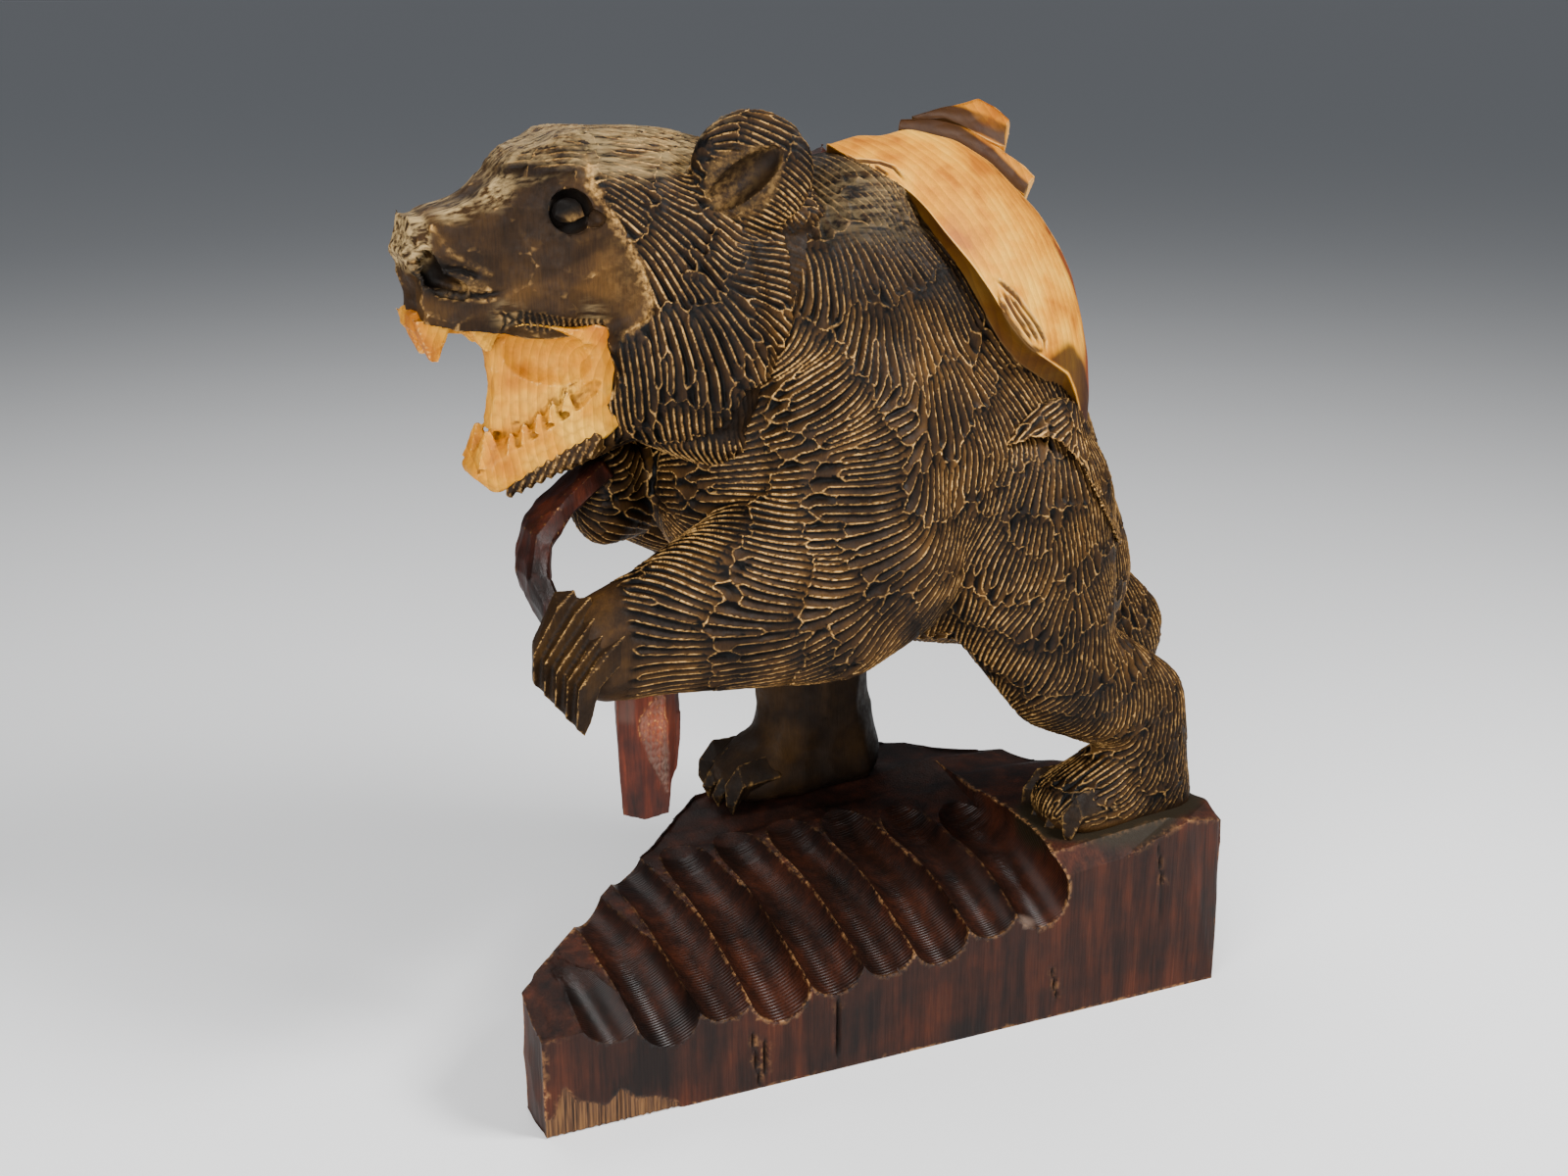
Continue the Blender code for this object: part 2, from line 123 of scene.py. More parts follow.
# The same on the head.
HEAD_LIE = (
    (-107, -25, 415, 10, 0, -1), (-84, -30, 407, 8, -6, -2), (-118, -33, 407, 9, -2, -4),
    (-112, -38, 397, 8, -2, -6), (-105, -40, 385, 7, -1, -7), (-86, -37, 396, 9, -2, -4),
    (-89, -42, 381, 7, -2, -7), (-79, -45, 381, 4, -7, -6), (-97, -42, 369, 5, -2, -9),
    (-91, -48, 358, 3, -6, -8), (-83, -50, 366, 4, -6, -7), (-77, -57, 354, 5, -4, -8),
    (-68, -56, 364, 10, -1, -2), (-59, -55, 357, 8, 5, -3), (-65, -59, 346, 8, 1, -6),
    (-78, -59, 338, 3, -2, -9), (-92, -51, 342, 2, -2, -9), (-107, -44, 338, 1, -1, -10),
    (-118, -37, 337, 0, -2, -10), (-96, -49, 322, 0, 1, -10), (-114, -37, 312, 1, 3, -10),
    (-85, -54, 317, 1, 2, -10), (-70, -60, 330, 4, 1, -9), (-54, -53, 336, 6, 6, -6),
    (-62, -51, 372, 9, 4, -2), (-140, -23, 414, 8, -6, 2), (-136, -35, 398, 9, -3, -2),
    (-129, -37, 374, 1, 0, -10), (-151, -31, 383, -2, 0, -10), (-175, -24, 360, -1, 0, -10),
    (-113, -39, 358, 3, 1, -10), (-80, -44, 410, 9, -3, -3), (-62, -50, 424, 9, -2, -5),
    (-46, -47, 412, 8, 0, -7), (-66, -52, 398, 9, -2, -4), (-42, -42, 396, 6, 2, -8),
    (-74, -40, 420, 9, -3, 2))


# The forms are laid out as points, and a solid is the hull round some of them.

def at(x, y, z):
    """A place in the model, in metres, from a point of the layout."""
    return Vector((x * SHARE, (y - MID) * SHARE, z * SHARE))


def turned(degrees):
    """A turn about X, Y and Z."""
    return Euler([math.radians(a) for a in degrees]).to_matrix()


def ball(centre, radii, turn=(0, 0, 0), fineness=3):
    """The points of an ellipsoid in the layout."""
    sphere = bmesh.new()
    bmesh.ops.create_icosphere(sphere, subdivisions=fineness, radius=1.0)
    stretch = turned(turn) @ Matrix.Diagonal(Vector(radii))
    points = [Vector(centre) + stretch @ v.co for v in sphere.verts]
    sphere.free()
    return points


def block(centre, halves, turn=(0, 0, 0), chamfer=0.3):
    """The points of a box with chamfered corners."""
    points = []
    for full, signs in itertools.product(range(3), itertools.product((-1, 1), repeat=3)):
        share = [1.0 if axis == full else 1.0 - chamfer for axis in range(3)]
        corner = Vector([sign * half * part for sign, half, part in zip(signs, halves, share)])
        points.append(Vector(centre) + turned(turn) @ corner)
    return points


def gem(centre, halves, turn=(0, 0, 0)):
    """The six points of an octahedron, for what has a sharp back."""
    spin = turned(turn)
    return [Vector(centre) + spin.col[axis] * sign * halves[axis] for axis in range(3) for sign in (-1, 1)]


def facing_out(solid):
    bmesh.ops.recalc_face_normals(solid, faces=solid.faces[:])
    return solid


def hull(points):
    """A closed convex solid round points of the layout, as a bmesh."""
    solid = bmesh.new()
    for point in points:
        solid.verts.new(at(*point))
    made = bmesh.ops.convex_hull(solid, input=solid.verts[:])
    spare = {v for v in made["geom_interior"] + made["geom_unused"] if isinstance(v, bmesh.types.BMVert)}
    bmesh.ops.delete(solid, geom=list(spare), context="VERTS")
    bmesh.ops.delete(solid, geom=[v for v in solid.verts if not v.link_faces], context="VERTS")
    return facing_out(solid)


def tube(rows):
    """A closed solid through rings of points of the layout, with a flat face on each end."""
    solid = bmesh.new()
    rings = [[solid.verts.new(at(*point)) for point in row] for row in rows]
    for ring, other in zip(rings, rings[1:]):
        for i, v in enumerate(ring):
            j = (i + 1) % len(ring)
            solid.faces.new((v, ring[j], other[j], other[i]))
    solid.faces.new(rings[0])
    solid.faces.new(rings[-1])
    return facing_out(solid)


def limb(*balls):
    """Solids that run from each ball to the next."""
    return [hull(first + second) for first, second in zip(balls, balls[1:])]


def mirrored(solids_of_side):
    """The solids of both sides of the body: -1 is the left side and 1 the right."""
    return solids_of_side(-1) + solids_of_side(1)


def linked(name, mesh):
    """A new object in the scene."""
    obj = bpy.data.objects.new(name, mesh)
    bpy.context.scene.collection.objects.link(obj)
    return obj


def object_of(name, solids):
    """One object from bmesh solids, which it frees."""
    whole = bmesh.new()
    for solid in solids:
        piece = bpy.data.meshes.new(name)
        solid.to_mesh(piece)
        solid.free()
        whole.from_mesh(piece)
        bpy.data.meshes.remove(piece)
    mesh = bpy.data.meshes.new(name)
    whole.to_mesh(mesh)
    whole.free()
    return linked(name, mesh)


def bake(obj):
    """Replaces the object's mesh by what its modifiers make of it."""
    bpy.context.view_layer.update()
    shaped = bpy.data.meshes.new_from_object(obj.evaluated_get(bpy.context.evaluated_depsgraph_get()))
    obj.modifiers.clear()
    old, obj.data = obj.data, shaped
    bpy.data.meshes.remove(old)
    return obj


def melt(obj, grid, steps):
    """Turns overlapping solids into one skin on a grid in millimetres, with their joints softened."""
    remesh = obj.modifiers.new("one skin", "REMESH")
    remesh.mode = "VOXEL"
    remesh.voxel_size = grid * SHARE
    if steps:
        soften = obj.modifiers.new("soften", "SMOOTH")
        soften.iterations = steps
    return bake(obj)


def join_with(obj, name, solids, operation="DIFFERENCE"):
    """Cuts solids out of a closed object, or joins them to it."""
    other = object_of(name, solids)
    boolean = obj.modifiers.new(name, "BOOLEAN")
    boolean.operation = operation
    boolean.object = other
    boolean.solver = "EXACT"
    boolean.use_self = True
    bake(obj)
    bpy.data.objects.remove(other)


def prism(outline, near, far):
    """A solid with this outline in the X-Z plane, from near to far along Y."""
    solid = bmesh.new()
    face = solid.faces.new([solid.verts.new(at(x, near, z)) for x, z in outline])
    run = bmesh.ops.extrude_face_region(solid, geom=[face])
    moved = [v for v in run["geom"] if isinstance(v, bmesh.types.BMVert)]
    bmesh.ops.translate(solid, verts=moved, vec=(0, (far - near) * SHARE, 0))
    return facing_out(solid)


# The bear's forms.

def torso():
    hump = ball((-12, 0, 338), (58, 60, 66))
    chest = ball((-38, 0, 268), (52, 58, 62))
    barrel = ball((28, 0, 262), (76, 70, 84))
    rump = ball((84, 0, 238), (54, 62, 72))
    seat = ball((112, 0, 205), (44, 50, 48))
    back = ball((52, 2, 322), (58, 54, 58))
    tail = ball((171, 2, 156), (17, 13, 26), (0, 12, 0))
    root = ball((136, 2, 192), (22, 20, 22))
    collar = ball((-4, -10, 380), (38, 30, 30))
    trunk = limb(hump, chest, barrel, rump, seat) + limb(collar, hump)
    return trunk + limb(hump, back, rump) + limb(hump, barrel) + limb(root, tail)


def head():
    neck = ball((-40, 0, 352), (52, 54, 56))
    crown = ball((-92, 0, 374), (46, 42, 48))
    brow = block((-124, 0, 376), (20, 37, 45), (0, 8, 0), 0.4)
    stop = block((-150, 0, 374), (12, 27, 40), (0, 8, 0), 0.42)
    bridge = block((-170, 0, 364), (9, 24, 33), (0, 10, 0), 0.30)
    snout = block((-188, 0, 362), (9, 19, 28), (0, -3, 0), 0.28)
    jaw_root = ball((-104, 0, 314), (26, 31, 26))
    chin = ball((-130, 0, 288), (18, 20, 9), (0, -30, 0))
    return limb(neck, crown, brow, stop, bridge, snout) + limb(crown, jaw_root, chin) + mirrored(cheek)


def cheek(side):
    ruff = ball((-70, side * 26, 336), (26, 35, 60))
    jowl = ball((-100, side * 14, 330), (28, 31, 40))
    ridge = ball((-129, side * 19, 409), (13, 10, 14), (0, -30, 0))
    return limb(ruff, jowl) + [hull(ridge)]


def nose():
    """The nose pad, a square block that stands a little proud of the muzzle's end."""
    pad = block((-194, 0, 381), (7, 15, 11), (0, 12, 0), 0.25)
    lip = block((-189, 0, 358), (5, 11, 14), (0, -6, 0), 0.3)
    return [hull(pad), hull(pad + lip)]


def ear(side):
    """A rounded ear that stands off the head and faces forwards and outwards; the right one lies lower."""
    drop = RIGHT_EAR_DROP if side > 0 else 0
    root = ball((-60, side * 30, 386 - drop), (17, 12, 16))
    disc = ball((-60, side * 44, 406 - drop), (26, 8, 25), (0, 0, side * 24))
    return limb(root, disc)


def left_arm():
    shoulder = ball((-12, -34, 292), (50, 40, 58))
    upper = ball((-10, -44, 238), (54, 38, 52))
    elbow = ball((-30, -56, 216), (40, 28, 34))
    wrist = ball((-110, -58, 218), (24, 22, 29))
    palm = ball((-135, -60, 214), (18, 19, 24))
    return limb(shoulder, upper, elbow, wrist, palm) + limb(upper, wrist)


def right_arm():
    shoulder = ball((-14, 36, 292), (48, 36, 54))
    elbow = ball((-46, 56, 238), (32, 22, 32))
    wrist = ball((-90, 34, 258), (24, 20, 26))
    palm = ball((-110, 12, 262), (17, 18, 26))
    return limb(shoulder, elbow, wrist, palm)


def left_leg():
    hip = ball((74, -38, 238), (52, 38, 60))
    knee = ball((92, -54, 170), (28, 25, 32))
    hock = ball((140, -52, 142), (25, 21, 26))
    ankle = ball((148, -52, 108), (21, 20, 22))
    heel = ball((150, -52, 92), (22, 19, 14))
    foot = ball((108, -52, 96), (22, 24, 16))
    instep = ball((126, -52, 110), (16, 17, 14))
    return limb(hip, knee, hock, ankle, heel, foot) + limb(ankle, instep, foot)


def right_leg():
    hip = ball((52, 34, 228), (52, 36, 56))
    knee = ball((8, 46, 168), (32, 24, 32))
    shin = ball((10, 46, 128), (31, 22, 26))
    heel = ball((28, 46, 98), (20, 19, 18))
    foot = ball((-24, 46, 96), (22, 24, 16))
    instep = ball((-10, 46, 110), (16, 18, 15))
    return limb(hip, knee, shin, heel, foot) + limb(shin, instep, foot)


def left_fingers():
    """Five fingers folded over the strap, each with a sharp back that runs from its knuckle to its claw."""
    solids = []
    for i in range(5):
        t = i / 4
        knuckle = gem((-150 + 24 * t, -59 - 12 * t, 236 - 12 * t), (7, 9, 7), (0, 35, -40))
        joint = gem((-162 + 14 * t, -64 - 15 * t, 219 - 12 * t), (6, 11, 10), (0, 20, -40))
        claw = gem((-164 + 14 * t, -63 - 12 * t, 205 - 18 * t), (4, 7, 6), (0, -10, -40))
        solids += limb(knuckle, joint, claw)
    return solids


def toes(x, y, spread):
    """Four toes and their claws at the front of a foot whose toes start at x, y."""
    solids = []
    for i in range(4):
        t = i / 3 - 0.5
        root = gem((x + 20, y + 0.8 * spread * t, 100), (10, 8, 11))
        joint = gem((x + 4 - 10 * abs(t), y + spread * t, 99), (8, 7, 10))
        claw = gem((x - 9 + 8 * abs(t), y + spread * t * 1.1, 89), (4, 3.5, 8))
        solids += limb(root, joint, claw)
    return solids


# The salmon's flank: the rim of the step down to the coat, and the ridge of its back.
SALMON_RIM = ((-12, -14, 413), (-2, -21, 406), (11, -27, 399), (20, -31, 393), (25, -38, 386), (29, -47, 377),
              (39, -55, 363), (47, -60, 350), (54, -63, 337), (63, -64, 327), (76, -62, 319), (90, -55, 311),
              (97, -50, 302), (102, -47, 292), (106, -44, 284))
SALMON_BACK = ((-11, -11, 412), (10, 0, 415), (21, 0, 414), (35, 2, 417), (60, 2, 411), (77, 0, 401),
               (89, -3, 389), (100, -6, 378), (110, -10, 362), (115, -14, 349), (117, -20, 331),
               (117, -27, 314), (116, -32, 296), (112, -38, 281))
# The two lobes of its back fin: where each rises from the flank or the other lobe, and its ridge.
LOWER_LOBE = (((30, 1, 417), (47, 2, 414), (60, 2, 411), (77, 0, 401), (89, -3, 389), (94, -4, 386)),
              ((32, 3, 421), (50, 5, 421), (66, 5, 417), (84, 5, 407), (97, 4, 399), (104, 4, 393)))
UPPER_LOBE = (((44, 5, 421), (56, 6, 421), (66, 6, 417), (78, 7, 411), (85, 7, 408), (89, 7, 407)),
              ((40, 8, 422), (54, 8, 425), (66, 8, 427), (75, 9, 429), (84, 9, 425), (92, 9, 419)))


def moved(line, x, y, z):
    return [(a + x, b + y, c + z) for a, b, c in line]


def salmon_flank():
    """The fish lies over the left of the back, its flank facing out and up above a step down to the coat."""
    rim_foot = moved(SALMON_RIM, 1, 10, -9)
    back_foot = moved(SALMON_BACK, -6, 8, -12)
    rim_foot[0], back_foot[0] = (-11, -11, 408), (-10, -9, 408)
    return [loft([SALMON_RIM, SALMON_BACK, back_foot, rim_foot], [(76, 7), (10, 0), (24, 0), (12, -1)], 210)]


def fin_lobe(root, ridge, x, y, z):
    """A lobe of the back fin, whose near side is scooped out below its ridge."""
    return [loft([root, ridge, moved(ridge, x, y, z), moved(root, 2, 6, -12)],
                 [(22, -2.2), (6, 0.4), (16, 1.5), (12, 0)], 90)]


# The tail lies folded over the hip: its fringe stands over the thigh, and its root comes from under the
# flank.
TAIL_FRINGE = ((48, -60, 279), (57, -65, 283), (68, -67, 286), (78, -68, 284), (88, -71, 274), (96, -73, 259),
               (106, -71, 243), (116, -66, 228))
TAIL_ROOT = ((70, -54, 296), (80, -54, 300), (92, -50, 300), (102, -46, 295), (110, -42, 284),
             (119, -38, 265), (127, -36, 246), (134, -34, 228))


def tail_fan():
    return [loft([TAIL_FRINGE, TAIL_ROOT, moved(TAIL_ROOT, -5, 18, -8), moved(TAIL_FRINGE, 3, 14, -2)],
                 [(30, 2.0), (8, 0), (16, 0), (12, -2.0)], 110)]


def strap_bow():
    """The strap bends down from the chin, in front of the paw."""
    bends = (((-118, 4, 272), 9, 50), ((-137, -4, 262), 7, 55), ((-150, -12, 249), 7, 20),
             ((-153, -20, 234), 7, -8), ((-146, -34, 216), 7, -25))
    return limb(*[block(place, (6, 12, half), (0, lean, 0)) for place, half, lean in bends])


def strap_end():
    """The strap's loose end hangs below the paw, cut in long upright facets, with a step on its far edge."""
    top = [(-129, -57, 202), (-122, -63, 202), (-108, -63, 202), (-100, -55, 202), (-100, -42, 202),
           (-124, -42, 202)]
    mid = [(-130, -57, 180), (-122, -63, 182), (-109, -64, 180), (-99, -55, 180), (-99, -40, 180),
           (-125, -40, 180)]
    low = [(-128, -56, 133), (-119, -61, 131), (-107, -60, 132), (-106, -50, 133), (-107, -42, 134),
           (-123, -42, 134)]
    step = [(-106, -60, 178), (-99, -56, 178), (-99, -44, 178), (-106, -44, 178), (-101, -56, 152),
            (-106, -58, 143), (-101, -46, 152), (-106, -46, 143)]
    return [hull(top + mid), hull(mid + low), hull(step)]


def strap_band():
    """The strap's far run, from the salmon's head over the far shoulder to the chin."""
    bends = (((-6, 4, 402), 10, 0, 60), ((-26, 38, 384), 10, -40, 60), ((-46, 56, 340), 9, -10, 60),
             ((-72, 50, 298), 9, 0, 70), ((-100, 24, 278), 9, 0, 80))
    return limb(*[gem(place, (14, half, 10), (roll, 0, turn)) for place, half, roll, turn in bends])


def mouth_opening():
    """What is cut away between the upper lip and the lower jaw."""
    outline = [(-230, 352), (-196, 347), (-152, 338), (-121, 338), (-117, 326), (-119, 312), (-134, 297),
               (-150, 284), (-166, 262), (-230, 240)]
    return [prism(outline, -60, 60)]


def mouth_inside():
    """The web of wood left standing in the mouth, which widens back to the cheeks."""
    levels = (((-166, 6, 345), (-124, 33, 345), (-108, 30, 342)),
              ((-163, 6, 316), (-122, 30, 318), (-106, 30, 318)),
              ((-166, 6, 297), (-126, 27, 304), (-110, 24, 300)))
    return limb(*[[Vector((x, side * y, z)) for x, y, z in level for side in (-1, 1)] for level in levels])


def upper_gum():
    """The bare rim along the upper lip, from the front teeth back to the corner of the mouth."""
    return limb(block((-190, 0, 347), (8, 14, 5)), block((-168, 0, 345), (6, 17, 5)),
                block((-130, 0, 340), (8, 32, 5), (0, 6, 0)))


def lower_jaw():
    root = block((-122, 0, 306), (9, 28, 13), (0, -35, 0))
    middle = block((-144, 0, 293), (9, 20, 10), (0, -38, 0))
    tip = block((-165, 0, 281), (8, 13, 9), (0, -50, 0))
    tongue = ball((-136, 0, 317), (12, 11, 7), (0, -35, 0), 2)
    tongue_tip = ball((-158, 0, 304), (9, 8, 6), (0, -35, 0), 2)
    return limb(root, middle, tip) + limb(tongue, tongue_tip)


def mouth_scoops(side):
    """What a round gouge takes out of one side of the mouth: cheek, trough and the root of a tooth."""
    cheek_hollow = ball((-154, side * 37.4, 329), (29, 29, 17), (0, 8, side * 32), 4)
    under_tooth = ball((-180, side * 17, 338), (9, 8, 9))
    trough = limb(ball((-130, side * 31, 316), (10, 7, 4.5), (0, -35, side * 25), 2),
                  ball((-156, side * 20, 298), (9, 6, 4.5), (0, -35, side * 25), 2))
    return [hull(cheek_hollow), hull(under_tooth)] + trough


def tooth(x, y, z, length, width, lean=0.0):
    """A pointed tooth; a length below nought makes one that hangs down."""
    foot = [Vector((x + a, y + b, z - 0.2 * length)) for a in (-width, width) for b in (-width, width)]
    waist = [Vector((x + 0.7 * a + 0.3 * lean, y + 0.7 * b, z + 0.45 * length)) for a, b in
             ((-width, 0), (width, 0), (0, -width), (0, width))]
    blunt = 0.22 * width
    tip = [Vector((x + lean + a, y + b, z + length)) for a in (-blunt, blunt) for b in (-blunt, blunt)]
    return hull(foot + waist + tip)


def teeth():
    solids = []
    for side in (-1, 1):
        solids.append(tooth(-189, side * 10, 346, -16, 8.5, 0.5))
        solids.append(tooth(-168, side * 11, 343, -10, 7.5, 2.0))
        solids.append(tooth(-167, side * 8, 286, 13, 6.5, 0.0))
        for i in range(5):
            t = i / 4
            solids.append(tooth(-158 + 22 * t, side * (14 + 9 * t), 291 + 18 * t, 7.5, 3.6, -0.5))
    return solids


def chin_tufts():
    """Nine tufts of coat below the jaw, with their tips forward and down."""
    solids = []
    for i in range(9):
        t = i / 8
        for side in (-1, 1):
            root = gem((-156 + 32 * t, side * (11 + 14 * t), 280 + 16 * t), (5, 5, 6), (0, -30, 0))
            tip = gem((-160 + 32 * t, side * (12 + 14 * t), 271 + 17 * t), (2, 2.4, 3), (0, -30, 0))
            solids += limb(root, tip)
    return solids


def hollows(side):
    """The eye socket, the nostril and the hollow of the ear, on one side of the head."""
    drop = RIGHT_EAR_DROP if side > 0 else 0
    socket = ball((-136, side * 37, 392), (8.6, 7.5, 8.0), (0, 12, 0))
    corner = ball((-127, side * 38, 389), (5, 3.5, 2.4), (0, 20, 0), 2)
    nostril = limb(ball((-192, side * 18, 373), (3.2, 6, 4.6), (0, 20, 0), 2),
                   ball((-188, side * 19, 365), (4.2, 6, 3.4), (0, 20, 0), 2),
                   ball((-180, side * 22, 362), (3.4, 5, 2.0), (0, 20, 0), 2))
    ear_hollow = ball((-68, side * 52, 402 - drop), (23, 11, 8), (0, -38, side * 24))
    return [hull(socket), hull(corner), hull(ear_hollow)] + nostril


def eyeball(side):
    """The eye stands in its socket, with a blunt point to the front of its upper lid."""
    white = ball((-136, side * 33, 392), (6.4, 4.4, 5.2), fineness=2)
    lid = [(-142, side * 36, 391), (-136, side * 38.6, 394), (-130, side * 37, 390), (-136, side * 37.2, 388)]
    return [hull(white + [Vector(p) for p in lid])]


# The plinth's forms.

def on_plinth(along, across, up):
    """A place on the plinth, in shares of its length, its depth and its height, as a point of the layout."""
    return Vector((along * PLINTH_LENGTH, across * PLINTH_DEPTH + MID, up * PLINTH_HEIGHT))


def rough_plinth():
    low = LOW_END_HEIGHT / PLINTH_HEIGHT
    plan = [(-0.495, -0.5), (-0.5, -0.42), (-0.5, -0.33), (-0.15, 0.40), (0.06, 0.5), (0.17, 0.5),
            (0.34, 0.28), (0.5, -0.19), (0.5, -0.46), (0.485, -0.5)]
    top = [(-0.5, -0.44, low), (-0.495, -0.5, low * 0.95), (-0.5, -0.33, low * 1.04), (-0.36, -0.05, 0.83),
           (-0.15, 0.40, 1.0), (0.06, 0.48, 1.02), (0.17, 0.48, 1.02), (0.32, 0.28, 1.0), (0.49, -0.19, 1.0),
           (0.49, -0.40, 1.04), (0.42, -0.5, 1.04), (0.495, -0.47, 0.97)]
    floor = [on_plinth(x, y, 0) for x, y in plan]
    return [hull(floor + [on_plinth(*p) for p in top])]


def near_slopes():
    """What the planes take off the near side: two down to the near face, and a steep one by the foot."""
    edge = NEAR_EDGE_HEIGHT / PLINTH_HEIGHT
    slopes = []
    for along, across, left_end, right_end in (
            ((-0.55, 0.21), (-0.6, -0.30), (edge * 0.80, edge * 1.2), (edge * 1.15, edge * 1.6)),
            ((-0.55, 0.21), (-0.6, 0.45), (edge * 1.05, edge * 1.515), (edge * 1.38, edge * 1.89)),
            ((0.19, 0.43), (-0.56, -0.45), (0.66, 0.98), (0.99, 1.08))):
        outline = [(along[0], across[0], left_end[0]), (along[0], across[1], left_end[1]),
                   (along[1], across[0], right_end[0]), (along[1], across[1], right_end[1])]
        above = [(x, y, 2.0) for x, y, z in outline]
        slopes.append(hull([on_plinth(*p) for p in outline + above]))
    return slopes


# Where each flute ends on the near face, as a share of the height, and how far behind the ridge it starts, as
# a share of the depth: the first three run out over the far edge.
FLUTES = ((0.50, 0.05), (0.40, 0.10), (0.46, 0.14), (0.39, 0.10), (0.47, 0.05), (0.51, 0.02), (0.51, 0.01),
          (0.60, 0.0), (0.60, 0.0))


def sweep(number, steps=26):
    """The middle line of one sweep of the big gouge, from the far ridge down over the near face."""
    share = number / (len(FLUTES) - 1)
    low_end, behind = FLUTES[number]
    radius = (FLUTE_WIDTH ** 2 / 4 + FLUTE_DEPTH ** 2) / (2 * FLUTE_DEPTH)
    run_in = FLUTE_DEPTH * smooth((share - 0.2) / 0.15)
    high = 0.70 + 0.10 * min(1.0, 2.7 * share)
    ridge = -0.19 + 0.145 * share + 0.22 * math.sin(math.pi * share)
    start = on_plinth(-0.463 + 0.637 * share, ridge + behind, high)
    end = on_plinth(-0.410 + 0.607 * share, -0.5, low_end)
    line = []
    for i in range(steps + 6):
        t = i / steps
        rise = 0.09 * math.sin(math.pi * t) * PLINTH_HEIGHT
        entry = run_in * max(0.0, 1.0 - t / 0.25) ** 2
        line.append(start.lerp(end, t) + Vector((0, 0, rise + entry + radius)))
    return line, radius


def flute(number, sides=40):
    """The round channel that one sweep leaves, with a round start."""
    line, radius = sweep(number)
    first = (line[0] - line[1]).normalized()
    cap = [(line[0] + first * (radius * math.sin(a)), radius * math.cos(a)) for a in (1.5, 1.2, 0.8, 0.4)]
    stations = cap + [(place, radius) for place in line]
    angles = [math.tau * j / sides for j in range(sides)]
    rows = []
    for i, (place, wide) in enumerate(stations):
        ahead = (stations[min(i + 1, len(stations) - 1)][0] - stations[max(i - 1, 0)][0]).normalized()
        side = ahead.cross(Vector((0, 0, 1))).normalized()
        up = side.cross(ahead)
        rows.append([place + (side * math.cos(a) + up * math.sin(a)) * wide for a in angles])
    return tube(rows)


# Skins as arrays of numbers, in the layout's millimetres.

def read(obj, what):
    """A vector for each vertex of a skin."""
    values = np.empty(len(obj.data.vertices) * 3, np.float32)
    obj.data.vertices.foreach_get(what, values)
    return values.reshape(-1, 3).astype(float)


def places(obj):
    return read(obj, "co") / SHARE + (0, MID, 0)


def outwards(obj):
    return read(obj, "normal")


def put(obj, points):
    values = ((points - (0, MID, 0)) * SHARE).astype(np.float32)
    obj.data.vertices.foreach_set("co", values.ravel())
    obj.data.update()


def press(obj, depth):
    """Presses each vertex of a skin in by its depth."""
    put(obj, places(obj) - outwards(obj) * depth[:, None])


def skin_of(obj):
    """A skin that can tell which place on it is nearest."""
    faces = [tuple(p.vertices) for p in obj.data.polygons]
    return BVHTree.FromPolygons([Vector(p) for p in places(obj)], faces)


def mark(obj, **marks):
    """Keeps numbers for the vertices under the names that the materials read."""
    for name, values in marks.items():
        attribute = obj.data.attributes.get(name) or obj.data.attributes.new(name, "FLOAT", "POINT")
        attribute.data.foreach_set("value", np.full(len(obj.data.vertices), values, np.float32))


def near_point(points, centre, radii):
    """1 at the centre of an ellipsoid, falling to 0 at its edge."""
    away = np.linalg.norm((points - centre) / radii, axis=1)
    return np.clip(1.0 - away, 0.0, 1.0)


def smooth(share):
    share = np.clip(share, 0.0, 1.0)
    return share * share * (3 - 2 * share)


def from_line(points, line):
    """How far each point is from a line through a few places, and how far along it that is, from 0 to 1."""
    line = np.array(line, float)
    runs = np.maximum(np.linalg.norm(np.diff(line, axis=0), axis=1), 1e-6)
    starts = np.concatenate(([0.0], np.cumsum(runs)))
    best = np.full(len(points), 1e9)
    along = np.zeros(len(points))
    for a, b, run, start in zip(line, line[1:], runs, starts):
        share = np.clip(((points - a) @ (b - a)) / run ** 2, 0.0, 1.0)
        away = np.linalg.norm(points - a - share[:, None] * (b - a), axis=1)
        nearer = away < best
        best = np.where(nearer, away, best)
        along = np.where(nearer, (start + share * run) / starts[-1], along)
    return best, along


def incise(obj, lines, width, depth, step=2.0):
    """Cuts a V-groove along each line, shallow at its ends, and returns how deep in one each vertex lies."""
    points = places(obj)
    skin = skin_of(obj)
    cut = np.zeros(len(points))
    for line in lines:
        laid = []
        for a, b in zip(line, line[1:]):
            a, b = Vector(a), Vector(b)
            count = max(1, round((b - a).length / step))
            laid += [skin.find_nearest(a.lerp(b, i / count))[0] for i in range(count)]
        laid.append(skin.find_nearest(Vector(line[-1]))[0])
        away, along = from_line(points, laid)
        ends = np.minimum(1.0, 5.0 * np.minimum(along, 1.0 - along) + 0.15)
        cut = np.maximum(cut, np.clip(1.0 - 2.0 * away / width, 0.0, 1.0) * ends)
    press(obj, cut * depth)
    return cut


